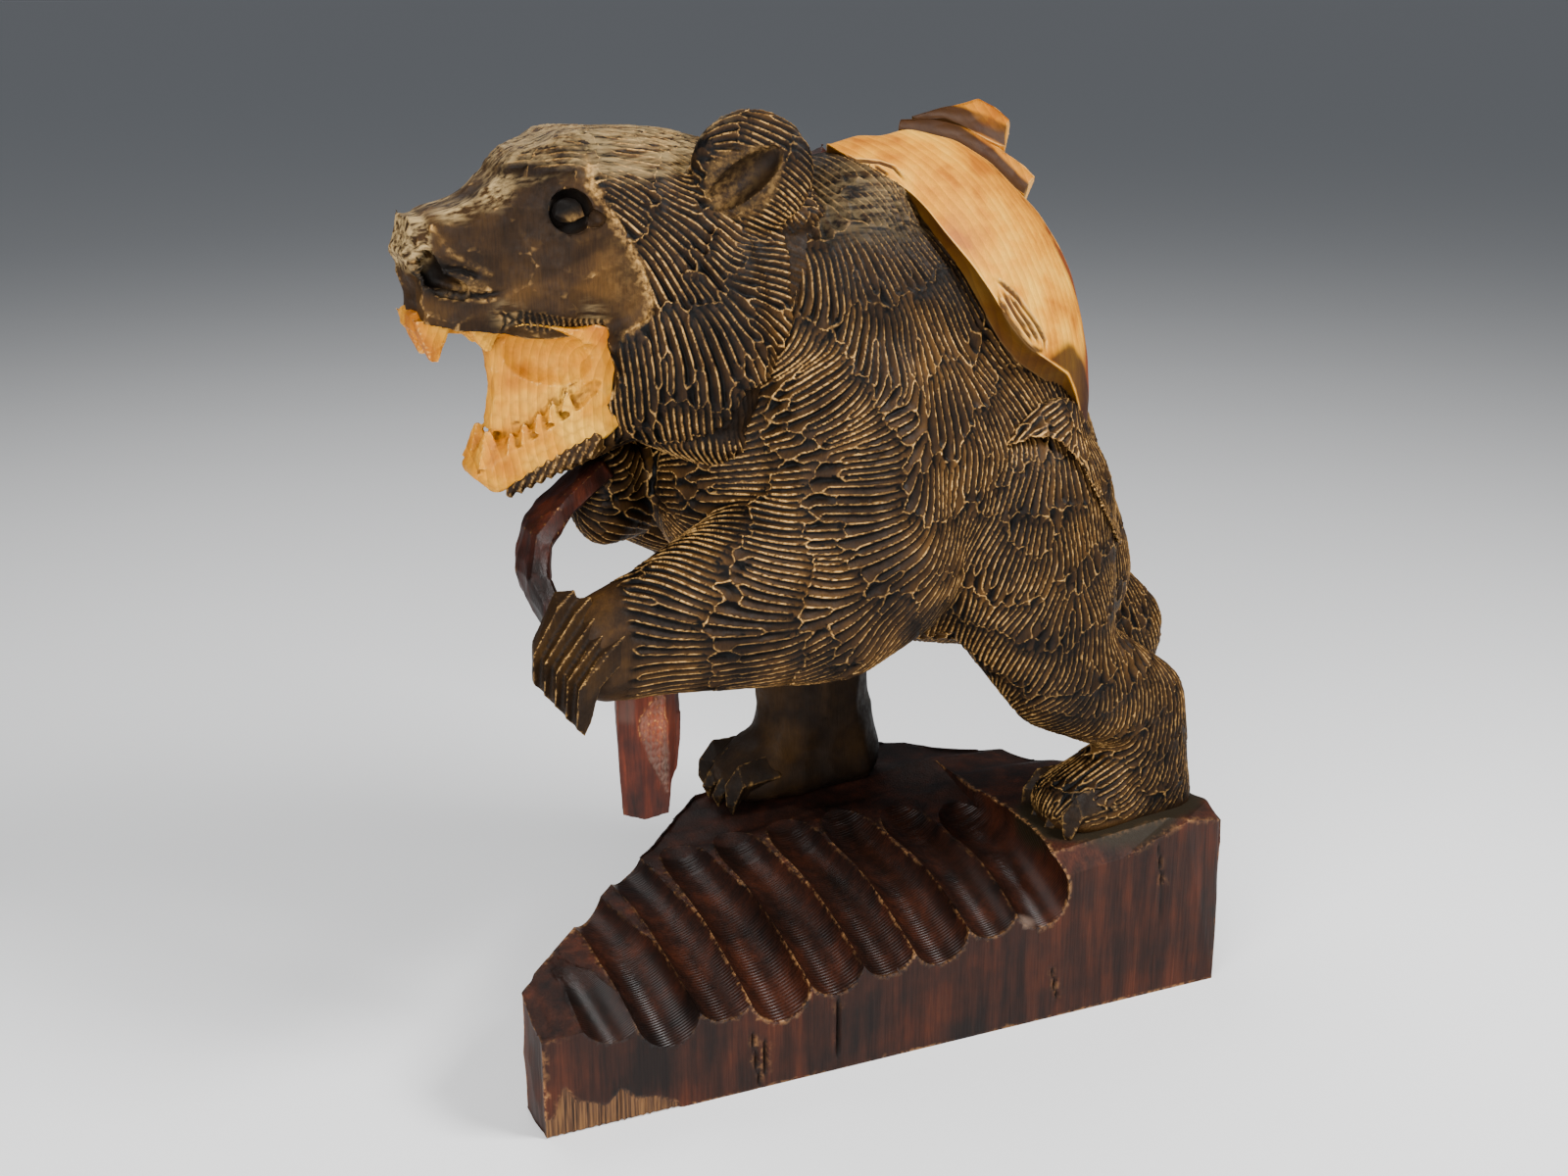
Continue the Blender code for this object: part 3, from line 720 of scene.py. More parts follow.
def chisel(obj, size, depth, seed, stretch=(1, 1, 1), where=1.0):
    """Covers a skin with the shallow scoops of a flat gouge, this far apart and drawn out along X, Y and Z,
    and returns how near each vertex is to a crest between two of them."""
    spread = (places(obj) / (np.array(stretch, float) * size)).tolist()
    rand = random.Random(seed)
    order = list(range(len(spread)))
    rand.shuffle(order)
    cells, middles = set(), []
    for i in order:
        cell = tuple(math.floor(c / 0.8) for c in spread[i])
        if cell not in cells:
            cells.add(cell)
            middles.append(spread[i])
    tree = KDTree(len(middles))
    for i, middle in enumerate(middles):
        tree.insert(middle, i)
    tree.balance()
    near = np.array([[found[2] for found in tree.find_n(place, 2)] for place in spread])
    scoop = 1.0 - np.minimum(near[:, 0] / 0.7, 1.0) ** 2
    press(obj, scoop * depth * where)
    return (1.0 - smooth((near[:, 1] - near[:, 0]) / 0.2)) * where


def sharpness(obj):
    """How sharply the skin bends outwards at each vertex: 0 where it is flat, near 1 on an edge."""
    points, normals = places(obj), outwards(obj)
    ends = np.empty(len(obj.data.edges) * 2, np.int32)
    obj.data.edges.foreach_get("vertices", ends)
    a, b = ends.reshape(-1, 2).T
    step = points[b] - points[a]
    length = np.maximum(np.linalg.norm(step, axis=1), 1e-6)
    bend_a = -(step * normals[a]).sum(1) / length
    bend_b = (step * normals[b]).sum(1) / length
    total = np.bincount(a, bend_a, len(points)) + np.bincount(b, bend_b, len(points))
    count = np.bincount(a, minlength=len(points)) + np.bincount(b, minlength=len(points))
    return total / np.maximum(count, 1)


def wear_edges(obj, start, full):
    """Marks the edges that hands have rubbed, where the wood shows through the stain."""
    mark(obj, edge=smooth((sharpness(obj) - start) / (full - start)))


def drawn(line, count):
    """A line through a few places as evenly spaced points, its corners rounded."""
    line = np.array(line, float)
    runs = np.concatenate(([0.0], np.cumsum(np.linalg.norm(np.diff(line, axis=0), axis=1))))
    even = np.linspace(0.0, runs[-1], count)
    points = np.stack([np.interp(even, runs, line[:, axis]) for axis in range(3)], axis=1)
    for i in range(count // 12):
        points[1:-1] = (points[:-2] + 2 * points[1:-1] + points[2:]) / 4
    return points


def loft(lines, sides, stations):
    """A closed solid between lines that run side by side round it. Each side has a number of steps to the
    next line and swells by some millimetres, or is scooped out where that is below nought."""
    rails = [drawn(line, stations) for line in lines]
    middle = sum(rails) / len(rails)
    ring = []
    for i, (count, swell) in enumerate(sides):
        first, last = rails[i], rails[(i + 1) % len(rails)]
        along = np.gradient((first + last) / 2, axis=0)
        out = np.cross(along, last - first)
        out /= np.maximum(np.linalg.norm(out, axis=1), 1e-9)[:, None]
        out *= np.sign((out * ((first + last) / 2 - middle)).sum(1))[:, None]
        apart = np.linalg.norm(last - first, axis=1)
        out *= (apart / apart.max())[:, None]
        for t in np.arange(count) / count:
            ring.append(first * (1 - t) + last * t + out * (4 * t * (1 - t) * swell))
    return tube([[points[i] for points in ring] for i in range(stations)])


# Nodes, strokes and materials.

def feed(tree, socket, value):
    """Gives a socket a value or a hex colour, or links it to another node or to one socket of it."""
    if isinstance(value, bpy.types.Node):
        value = next(output for output in value.outputs if output.enabled)
    if isinstance(value, bpy.types.NodeSocket):
        tree.links.new(value, socket)
    else:
        socket.default_value = srgb(value) if str(value).startswith("#") else value


def add(tree, kind, feeds=(), stops=(), **settings):
    """Adds one node. Its feeds go to the sockets that it shows, in their order, or by name; stops are a
    ramp's colours."""
    node = tree.nodes.new(kind)
    for name, value in settings.items():
        setattr(node, name, value)
    if isinstance(feeds, dict):
        sockets = [node.inputs[name] for name in feeds]
        feeds = feeds.values()
    else:
        sockets = [socket for socket in node.inputs if socket.enabled]
    for socket, value in zip(sockets, feeds):
        feed(tree, socket, value)
    for i, (place, colour) in enumerate(stops):
        element = node.color_ramp.elements[i] if i < 2 else node.color_ramp.elements.new(place)
        element.position = place
        element.color = srgb(colour)
    return node


def srgb(code):
    """An sRGB hex colour as the linear colour that a shader takes."""
    parts = [int(code[i:i + 2], 16) / 255 for i in (1, 3, 5)]
    linear = [c / 12.92 if c <= 0.04045 else ((c + 0.055) / 1.055) ** 2.4 for c in parts]
    return (*linear, 1.0)


def lie_of(points, normals, guides):
    """Which way the coat lies at points of a skin: a blend of the guides near each, laid along the skin."""
    both = np.array(guides, float)
    both = np.vstack([both, both * (1, -1, 1, 1, -1, 1)])
    lie = np.zeros_like(points)
    for guide in both:
        away = ((points - guide[:3]) ** 2).sum(1)
        lie += (1.0 / (away + LIE_BLEND) ** 2)[:, None] * guide[3:]
    lie -= normals * (lie * normals).sum(1)[:, None]
    return lie / np.maximum(np.linalg.norm(lie, axis=1), 1e-9)[:, None]


# The steps from a cell to itself and to the cells round it.
AROUND = tuple(itertools.product((-1, 0, 1), repeat=3))


class Coat:
    """A skin that strokes are laid on, side by side and tier after tier. A stroke is the places along it, the
    directions across it, its set and its tone."""

    def __init__(self, obj, guides, furry, cut_at, seed):
        self.places = places(obj)
        self.corners = [p.vertices[0] for p in obj.data.polygons]
        self.lie = [Vector(v) for v in lie_of(self.places, outwards(obj), guides)]
        self.furry = furry(self.places) > 0.5
        self.skin = skin_of(obj)
        self.cut_at = cut_at
        self.cells = {}
        self.strokes = []
        self.rand = random.Random(seed)

    def cell(self, place):
        return (int(place.x // STROKE_CELL), int(place.y // STROKE_CELL), int(place.z // STROKE_CELL))

    def beside(self, place, room):
        """The strokes that pass nearer than this to a place."""
        i, j, k = self.cell(place)
        for a, b, c in AROUND:
            for other, stroke in self.cells.get((i + a, j + b, k + c), ()):
                if (other - place).length_squared < room * room:
                    yield stroke

    def crowded(self, place, room):
        return next(self.beside(place, room), None) is not None

    def follow(self, start):
        """Lays one stroke from a place and returns where the next ones may start."""
        hit, normal, face, away = self.skin.find_nearest(start)
        corner = self.corners[face]
        if not self.furry[corner]:
            return []
        width, length = self.cut_at(hit)
        if self.crowded(hit, START_ROOM * width):
            return []
        length *= self.rand.uniform(0.75, 1.25)
        turn = self.rand.uniform(-0.025, 0.025)
        run, sides = [hit], []
        here, ahead = hit, self.lie[corner]
        while STROKE_STEP * len(run) < length:
            side = normal.cross(ahead)
            sides.append((here, side, ahead))
            hit, normal, face, away = self.skin.find_nearest(here + ahead * STROKE_STEP)
            corner = self.corners[face]
            stuck = (hit - here).length < 0.3 * STROKE_STEP
            if stuck or not self.furry[corner] or self.crowded(hit, RUN_ROOM * width):
                break
            here = hit
            bent = ahead * 0.4 + self.lie[corner] * 0.6 + side * turn
            bent -= normal * bent.dot(normal)
            if bent.length < 0.2:
                break
            ahead = bent.normalized()
            run.append(here)
        if len(run) < STROKE_LEAST:
            return []
        own = len(self.strokes)
        taken = {self.strokes[stroke][2] for place in run for stroke in self.beside(place, SET_ROOM * width)}
        free = [number for number in range(STROKE_SETS) if number not in taken]
        for place in run:
            self.cells.setdefault(self.cell(place), []).append((place, own))
        number = free[0] if free else own % STROKE_SETS
        self.strokes.append((run, [side for place, side, ahead in sides], number, self.rand.random()))
        slip = self.rand.uniform(-3.5, 3.5)
        seeds = [place + side * (sign * width) + ahead * slip
                 for place, side, ahead in (sides[0], sides[len(sides) // 2]) for sign in (-1, 1)]
        place, side, ahead = sides[-1]
        return seeds + [place + ahead * (STROKE_STEP + 0.5 * width)]

    def fill(self):
        """Covers the whole furry part of the skin."""
        order = [i for i in range(len(self.places)) if self.furry[i]]
        self.rand.shuffle(order)
        for i in order:
            waiting = [Vector(self.places[i])]
            while waiting:
                waiting = [place for seed in waiting for place in self.follow(seed)]
        return self


# What each edge of a stroke knows: its stroke's set, how far along it the edge lies, its tone, the edge's
# middle, and the directions along and across the stroke.
STROKE_MARKS = (("set", "FLOAT"), ("share", "FLOAT"), ("tone", "FLOAT"), ("middle", "FLOAT_VECTOR"),
                ("along", "FLOAT_VECTOR"), ("across", "FLOAT_VECTOR"))


def stroke_lines(coat):
    """The strokes as a mesh of edges with their marks."""
    points, edges, marks = [], [], []
    for run, sides, number, tone in coat.strokes:
        first = len(points)
        points += [at(*p) for p in run]
        for i in range(len(run) - 1):
            a, b = points[first + i], points[first + i + 1]
            edges.append((first + i, first + i + 1))
            along = (b - a) / ((b - a).length_squared * (len(run) - 1))
            marks.append((number, (i + 0.5) / (len(run) - 1), tone, (a + b) / 2, along, sides[i]))
    mesh = bpy.data.meshes.new("strokes")
    mesh.from_pydata(points, edges, [])
    for (name, kind), values in zip(STROKE_MARKS, zip(*marks)):
        data = mesh.attributes.new(name, kind, "EDGE").data
        data.foreach_set("value" if kind == "FLOAT" else "vector", np.array(values, np.float32).ravel())
    return linked("strokes", mesh)


def gouge_tree():
    """Geometry Nodes that cut every stroke of a mesh of lines into a skin. Neighbouring strokes are in
    different sets, so the two nearest of the sets' distances tell where two channels meet in a sharp crest. A
    channel is steep on one side and rises gently to the other, and gets prouder towards its stroke's tip."""
    tree = bpy.data.node_groups.new("gouge_strokes", "GeometryNodeTree")
    tree.interface.new_socket("Geometry", in_out="OUTPUT", socket_type="NodeSocketGeometry")
    for name, kind in (("Geometry", "Geometry"), ("Strokes", "Object"), ("Depth", "Float"), ("Lift", "Float"),
                       ("Material", "Material")):
        tree.interface.new_socket(name, in_out="INPUT", socket_type="NodeSocket" + kind)
    given = add(tree, "NodeGroupInput").outputs
    lines = add(tree, "GeometryNodeObjectInfo", [given["Strokes"]]).outputs["Geometry"]
    number = add(tree, "GeometryNodeInputNamedAttribute", ["set"])
    first, second = 1.0, 1.0
    for i in range(STROKE_SETS):
        chosen = add(tree, "FunctionNodeCompare", (number, i, 0.1), data_type="FLOAT", operation="EQUAL")
        some = add(tree, "GeometryNodeSeparateGeometry", (lines, chosen), domain="EDGE")
        near = add(tree, "GeometryNodeProximity", [some], target_element="EDGES").outputs
        away = add(tree, "GeometryNodeSwitch", (near["Is Valid"], 1.0, near["Distance"]), input_type="FLOAT")
        further = add(tree, "ShaderNodeMath", (first, away), operation="MAXIMUM")
        second = add(tree, "ShaderNodeMath", (second, further), operation="MINIMUM")
        first = add(tree, "ShaderNodeMath", (first, away), operation="MINIMUM")

    nearest = add(tree, "GeometryNodeSampleNearest", [lines], domain="EDGE")
    found = {}
    for name, kind in STROKE_MARKS[1:]:
        value = add(tree, "GeometryNodeInputNamedAttribute", [name], data_type=kind)
        found[name] = add(tree, "GeometryNodeSampleIndex", (lines, value, nearest), data_type=kind,
                          domain="EDGE")
    from_middle = add(tree, "ShaderNodeVectorMath", (add(tree, "GeometryNodeInputPosition"), found["middle"]),
                      operation="SUBTRACT")
    step = add(tree, "ShaderNodeVectorMath", (from_middle, found["along"]), operation="DOT_PRODUCT")
    sideways = add(tree, "ShaderNodeVectorMath", (from_middle, found["across"]), operation="DOT_PRODUCT")
    share = add(tree, "ShaderNodeMath", (found["share"], step), operation="ADD", use_clamp=True)

    apart = add(tree, "ShaderNodeMath", (first, second), operation="ADD")
    crest = add(tree, "ShaderNodeMath", (first, 2.0), operation="MULTIPLY")
    crest = add(tree, "ShaderNodeMath", (crest, apart), operation="DIVIDE")
    rim = add(tree, "ShaderNodeMath", (second, first), operation="SUBTRACT")
    rim = add(tree, "ShaderNodeMath", (rim, 0.5 / SHARE), operation="MULTIPLY")
    lean = add(tree, "ShaderNodeMath", (sideways, apart), operation="DIVIDE")
    lean = add(tree, "ShaderNodeMath", (lean, 0.5), operation="ADD", use_clamp=True)
    flank = add(tree, "ShaderNodeMath", (lean, 0.5, 0.22), operation="COMPARE")
    flank = add(tree, "ShaderNodeMath", (1.0, flank), operation="SUBTRACT")
    wall = add(tree, "ShaderNodeMapRange", (lean, 0.0, 0.28), interpolation_type="SMOOTHSTEP")
    slope = add(tree, "ShaderNodeMapRange", (lean, 0.28, 1.0, 1.0, 0.0))
    ends = add(tree, "ShaderNodeMath", (crest, 5.0), operation="POWER")
    ends = add(tree, "ShaderNodeMath", (1.0, ends), operation="SUBTRACT")
    entry = add(tree, "ShaderNodeMapRange", (share, 0.0, 0.35, 0.25), interpolation_type="SMOOTHSTEP")
    wide = add(tree, "ShaderNodeMapRange", (apart, 0.0, 1.4 * STROKE_WIDTH * SHARE, 0.0, 1.4))
    cut = wall
    for factor in (slope, ends, entry, given["Depth"], wide):
        cut = add(tree, "ShaderNodeMath", (cut, factor), operation="MULTIPLY")
    proud = add(tree, "ShaderNodeMath", (share, given["Lift"]), operation="MULTIPLY")
    proud = add(tree, "ShaderNodeMath", (proud, cut), operation="SUBTRACT")
    furry = add(tree, "GeometryNodeInputNamedAttribute", ["furry"])
    proud = add(tree, "ShaderNodeMath", (proud, furry), operation="MULTIPLY")
    push = add(tree, "ShaderNodeVectorMath", (add(tree, "GeometryNodeInputNormal"), proud), operation="SCALE")
    skin = given["Geometry"]
    for name, value in (("lean", lean), ("flank", flank), ("rim", rim), ("tip", share),
                        ("tone", found["tone"])):
        skin = add(tree, "GeometryNodeStoreNamedAttribute", (skin, True, name, value))
    skin = add(tree, "GeometryNodeSetPosition", {"Geometry": skin, "Offset": push})
    skin = add(tree, "GeometryNodeRealizeInstances", [skin])
    skin = add(tree, "GeometryNodeSetMaterial", (skin, True, given["Material"]))
    add(tree, "NodeGroupOutput", [skin])
    return tree


def thin_out(obj, triangles):
    """Takes triangles out where the skin is flattest, down to this many."""
    fewer = obj.modifiers.new("fewer", "DECIMATE")
    fewer.ratio = min(1.0, triangles / sum(len(p.vertices) - 2 for p in obj.data.polygons))
    bake(obj)


def carve(obj, coat, tree, material, depth=STROKE_DEPTH, lift=STROKE_LIFT):
    """Cuts a coat's strokes into a skin."""
    lines = stroke_lines(coat)
    modifier = obj.modifiers.new("gouge", "NODES")
    modifier.node_group = tree
    values = {"Strokes": lines, "Depth": depth * SHARE, "Lift": lift * SHARE, "Material": material}
    for socket in tree.interface.items_tree:
        if socket.in_out == "INPUT" and socket.name in values:
            modifier[socket.identifier] = values[socket.name]
    bake(obj)
    bpy.data.objects.remove(lines)


def started(name, marks, *patterns):
    """A new material's nodes, the marks that it reads off its piece and its noise patterns. Each pattern has
    its lumps per metre along X, Y and Z, its detail and its roughness."""
    material = bpy.data.materials.new(name)
    material.use_nodes = True
    tree = material.node_tree
    place = add(tree, "ShaderNodeTexCoord").outputs["Object"]
    found = [add(tree, "ShaderNodeAttribute", attribute_name=mark).outputs["Fac"] for mark in marks.split()]
    noises = []
    for per_metre, detail, rough in patterns:
        stretched = add(tree, "ShaderNodeMapping", {"Vector": place, "Scale": per_metre})
        noises.append(add(tree, "ShaderNodeTexNoise", (stretched, 1.0, detail, rough)))
    return tree, found, noises, material


def finished(tree, colour, shades, layers, rough, specular, height, strength, depth):
    """Multiplies a colour by its shades, lays the layers over it, each where its share says, and gives the
    shader its colour, roughness, gloss and bump."""
    for shade in shades:
        colour = add(tree, "ShaderNodeMix", (1.0, colour, shade), data_type="RGBA", blend_type="MULTIPLY")
    for share, over in layers:
        colour = add(tree, "ShaderNodeMix", (share, colour, over), data_type="RGBA")
    bump = add(tree, "ShaderNodeBump", {"Strength": strength, "Distance": depth, "Height": height})
    shader = tree.nodes["Principled BSDF"]
    for name, value in (("Base Color", colour), ("Roughness", rough), ("Specular IOR Level", specular),
                        ("Normal", bump)):
        feed(tree, shader.inputs[name], value)


def stained_linden():
    """Linden stained brown-black and waxed: the stain lies dark in each gouge channel, with painted shade at
    its bottom, and is worn through to tan wood along the crests and edges. A faint grain runs up it, painted
    grey sheen lies on upward faces and the muzzle, and painted shade lies black in creases and hollows."""
    # The grain's lines are 0.8 mm apart, and the scratches, which run back over the head, about 2 mm.
    tree, marks, patterns, material = started(
        "stained_linden", "lean flank rim tip tone furry handled edge bare grey dark",
        ((30, 30, 30), 4.0, 0.6), ((360, 360, 360), 3.0, 0.6), ((1300, 1300, 90), 3.0, 0.55),
        ((60, 420, 420), 3.0, 0.6))
    lean, flank, rim, tip, tone, furry, handled, edge, bare, grey, dark = marks
    patches, specks, grain, scratches = patterns

    stain = add(tree, "ShaderNodeValToRGB", [patches],
                ((0.34, "#1b1007"), (0.5, "#342210"), (0.68, "#523716")))
    toned = add(tree, "ShaderNodeMapRange", (tone, 0.0, 1.0, 0.72, 1.28))
    # The channel's dark is partly stain pooled in the gouge channels and partly painted shade, blackest at
    # the bottom and on the steep wall of each channel.
    channel = add(tree, "ShaderNodeMapRange", (lean, 0.24, 0.92, 0.02, 0.95), interpolation_type="SMOOTHSTEP")
    held = add(tree, "ShaderNodeMapRange", (handled, 0.4, 1.0, 0.62))
    channel = add(tree, "ShaderNodeMath", (channel, held), operation="MULTIPLY")
    channel = add(tree, "ShaderNodeMix", (furry, 0.78, channel))
    lines = add(tree, "ShaderNodeMapRange", (grain, 0.3, 0.7, 0.75, 1.2))

    worn = add(tree, "ShaderNodeMapRange", (rim, 0.14, 0.58, 1.0, 0.0), interpolation_type="SMOOTHSTEP")
    to_tip = add(tree, "ShaderNodeMapRange", (tip, 0.01, 0.25))
    from_tip = add(tree, "ShaderNodeMapRange", (tip, 0.94, 0.995, 1.0, 0.0))
    rubbed = add(tree, "ShaderNodeMapRange", (patches, 0.36, 0.62, 0.30))
    broken = add(tree, "ShaderNodeMapRange", (specks, 0.30, 0.55, 0.25))
    bared = add(tree, "ShaderNodeMapRange", (specks, 0.3, 0.6))
    bared = add(tree, "ShaderNodeMath", (bare, bared), operation="MULTIPLY")
    for operation, other in (("MULTIPLY", to_tip), ("MULTIPLY", from_tip), ("MULTIPLY", flank),
                             ("MULTIPLY", furry), ("MULTIPLY", handled), ("MAXIMUM", edge),
                             ("MULTIPLY", rubbed), ("MULTIPLY", broken), ("MAXIMUM", bared)):
        worn = add(tree, "ShaderNodeMath", (worn, other), operation=operation)
    wood = add(tree, "ShaderNodeValToRGB", [specks], ((0.3, "#7a5226"), (0.65, "#e0ae66")))
    # Painted sheen: grey laid where the grey mark says, on upward faces, the muzzle's top, the nose pad and
    # the top of the neck, where light would shine off them.
    mottled = add(tree, "ShaderNodeMapRange", (scratches, 0.40, 0.62))
    painted_sheen = add(tree, "ShaderNodeMath", (grey, mottled), operation="MULTIPLY", use_clamp=True)
    rough = add(tree, "ShaderNodeMapRange", (specks, 0.3, 0.7, 0.48, 0.72))
    # The last layer is black: painted shade in creases, sockets, nostrils, hollows, under the ear and in the
    # armpit, and the black of the eyes, the toes and the far shin.
    layers = ((worn, wood), (painted_sheen, "#a68c60"), (dark, "#0b0806"))
    finished(tree, stain, (toned, channel, lines), layers, rough, 0.11, grain, 0.35, 0.0004)
    return material


def bare_linden():
    """Linden left bare under clear wax: honey-coloured, with the growth rings that a slanting cut shows,
    browner where stain ran over it, browner and darker with painted shade where it lies deep, and paler on
    its rubbed edges."""
    tree, marks, patterns, material = started(
        "bare_linden", "edge dark scorch", ((34, 34, 34), 4.0, 0.55), ((1500, 1500, 110), 2.0, 0.5))
    edge, dark, scorch = marks
    patches, fibres = patterns
    # The rings are 4 mm apart on the slanting flank, so the log's own, across the grain, are about 2 mm.
    place = add(tree, "ShaderNodeTexCoord").outputs["Object"]
    leaned = add(tree, "ShaderNodeMapping", (place, (0.02, 0.09, -0.30), (0.25, 0.12, 0.0)))
    rings = add(tree, "ShaderNodeTexWave", (leaned, 80.0, 9.0, 3.0, 0.22), wave_type="RINGS",
                rings_direction="SPHERICAL", wave_profile="SAW")
    wood = add(tree, "ShaderNodeValToRGB", [patches],
               ((0.36, "#a65e06"), (0.5, "#d0880c"), (0.64, "#e2a630")))
    ring = add(tree, "ShaderNodeMapRange", (rings, 0.0, 1.0, 1.06, 0.76))
    fibre = add(tree, "ShaderNodeMapRange", (fibres, 0.3, 0.7, 0.90, 1.07))
    burnt = add(tree, "ShaderNodeMapRange", (patches, 0.42, 0.58))
    burnt = add(tree, "ShaderNodeMath", (burnt, scorch), operation="MULTIPLY", use_clamp=True)
    pale = add(tree, "ShaderNodeMath", (edge, 0.65), operation="MULTIPLY", use_clamp=True)
    rough = add(tree, "ShaderNodeMapRange", (patches, 0.3, 0.7, 0.52, 0.70))
    # The burnt layer is stain, and in the mouth's hollows painted shade too; the dark layer is painted shade.
    layers = ((burnt, "#6a300c"), (pale, "#e8b566"), (dark, "#221005"))
    finished(tree, wood, (ring, fibre), layers, rough, 0.16, fibres, 0.25, 0.0003)
    return material


def reddish(name, low, middle, high, worn_wood, gloss):
    """Linden under a red-brown stain and a thin varnish: streaked down the grain, with painted shade black in
    its hollows and on its far parts, worn to tan on its edges, fibrous where it is torn, with the gouge's
    fine cross lines in the flutes."""
    # The grain's lines are 1 mm apart and run up the block.
    tree, marks, patterns, material = started(
        name, "edge bare dark grey olive flute sweep", ((900, 900, 28), 4.0, 0.6), ((120, 120, 14), 4.0, 0.6),
        ((22, 22, 22), 5.0, 0.6), ((420, 420, 420), 2.0, 0.6))
    edge, bare, dark, grey, olive, in_flute, along = marks
    grain, streaks, patches, specks = patterns
    mixed = add(tree, "ShaderNodeMix", (0.45, patches, streaks))
    stain = add(tree, "ShaderNodeValToRGB", [mixed], ((0.38, low), (0.5, middle), (0.62, high)))
    line = add(tree, "ShaderNodeMapRange", (grain, 0.35, 0.62, 0.62, 1.12))
    broken = add(tree, "ShaderNodeMapRange", (specks, 0.42, 0.60))
    rubbed = add(tree, "ShaderNodeMapRange", (patches, 0.40, 0.60))
    worn = add(tree, "ShaderNodeMath", (edge, broken), operation="MULTIPLY")
    worn = add(tree, "ShaderNodeMath", (worn, rubbed), operation="MULTIPLY", use_clamp=True)
    fibres = add(tree, "ShaderNodeValToRGB", [grain],
                 ((0.36, "#20130b"), (0.5, "#4a3220"), (0.62, "#6d4c2c")))
    rough = add(tree, "ShaderNodeMapRange", (patches, 0.3, 0.7, gloss - 0.08, gloss + 0.14))
    rough = add(tree, "ShaderNodeMix", (in_flute, rough, 0.34))
    chatter = add(tree, "ShaderNodeMath", (along, math.tau / CHATTER, streaks), operation="MULTIPLY_ADD")
    chatter = add(tree, "ShaderNodeMath", [chatter], operation="SINE")
    chatter = add(tree, "ShaderNodeMath", (chatter, 0.22), operation="MULTIPLY")
    height = add(tree, "ShaderNodeMix", (in_flute, grain, chatter))
    # The dark layer is painted shade in hollows, checks and flutes and on far parts.
    layers = ((olive, "#221b10"), (dark, "#0f0a08"), (worn, worn_wood), (bare, fibres), (grey, "#8f7a6c"))
    finished(tree, stain, [line], layers, rough, 0.18, height, 0.55, 0.0004)
    return material


# The pieces.

def dress(obj, material, triangles=None, crease=None):
    """Gives a finished piece its material and its place on the frame; what bends by more than the
    crease, in degrees, keeps a sharp edge."""
    if triangles:
        thin_out(obj, triangles)
    obj.data.materials.clear()
    obj.data.materials.append(material)
    obj.data.shade_smooth()
    if crease:
        obj.data.set_sharp_from_angle(angle=math.radians(crease))
    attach(obj, "root")
    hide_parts(NODE)


# The edge of the smooth face, from the brow down to the corner of the mouth; the coat starts behind it.
FACE_EDGE = ((-128, -26, 418), (-125, -31, 409), (-127, -36, 402), (-120, -38, 392), (-113, -39, 380),
             (-108, -40, 369), (-104, -40, 357), (-106, -44, 348), (-116, -39, 340), (-121, -33, 330))
# The rear edge of the ruff, as x at each height: the coat behind it lies a step lower.
RUFF_EDGE = ((290, -96), (297, -81), (306, -73), (317, -68), (321, -54), (328, -48), (343, -44), (356, -46),
             (371, -45), (386, -47))
RUFF_STEP = 5.0


def left_half(points):
    """The same places with both sides of the head folded onto the left one."""
    return points * (1, 0, 1) - abs(points) * (0, 1, 0)


def on_both_sides(lines):
    return [[(x, side * y, z) for x, y, z in line] for side in (-1, 1) for line in lines]


def behind_face(points):
    """How far behind the face's edge each place is, in millimetres."""
    edge = sorted((z, x) for x, y, z in FACE_EDGE)
    return points[:, 0] - np.interp(points[:, 2], *zip(*edge))


def head_furry(points):
    """Where the head has strokes: behind the face's edge, and faintly on the forehead."""
    x, y, z = points.T
    behind = smooth(behind_face(points) / 2.0 + 0.5)
    forehead = 0.7 * smooth((x + 163) / 6) * smooth((z - 403) / 8)
    throat = smooth((x + 128) / 4)
    return np.where(z < 330, throat, np.maximum(behind, forehead))


def head_cut(place):
    """Short fine strokes on the brow and temple, longer and wider ones on the cheek and ruff."""
    low = min(1.0, max(0.0, (405 - place.z) / 45))
    return 2.5 + 0.6 * low, 20 + 14 * low


# The folds round the nostril and the small upright cuts in the lip, on one side of the face.
FACE_FOLDS = (((-191, 17, 381), (-194, 18, 374), (-190, 20, 367), (-184, 22, 366)),
              ((-186, 21, 370), (-178, 23, 369), (-171, 25, 366)),
              ((-194, 14, 366), (-186, 20, 360), (-170, 25, 358), (-160, 27, 360)))
LIP_CUTS = [((-163 + 2.5 * i, 32, 351 - 0.15 * i), (-163 + 2.5 * i + 1.5, 32, 339)) for i in range(17)]


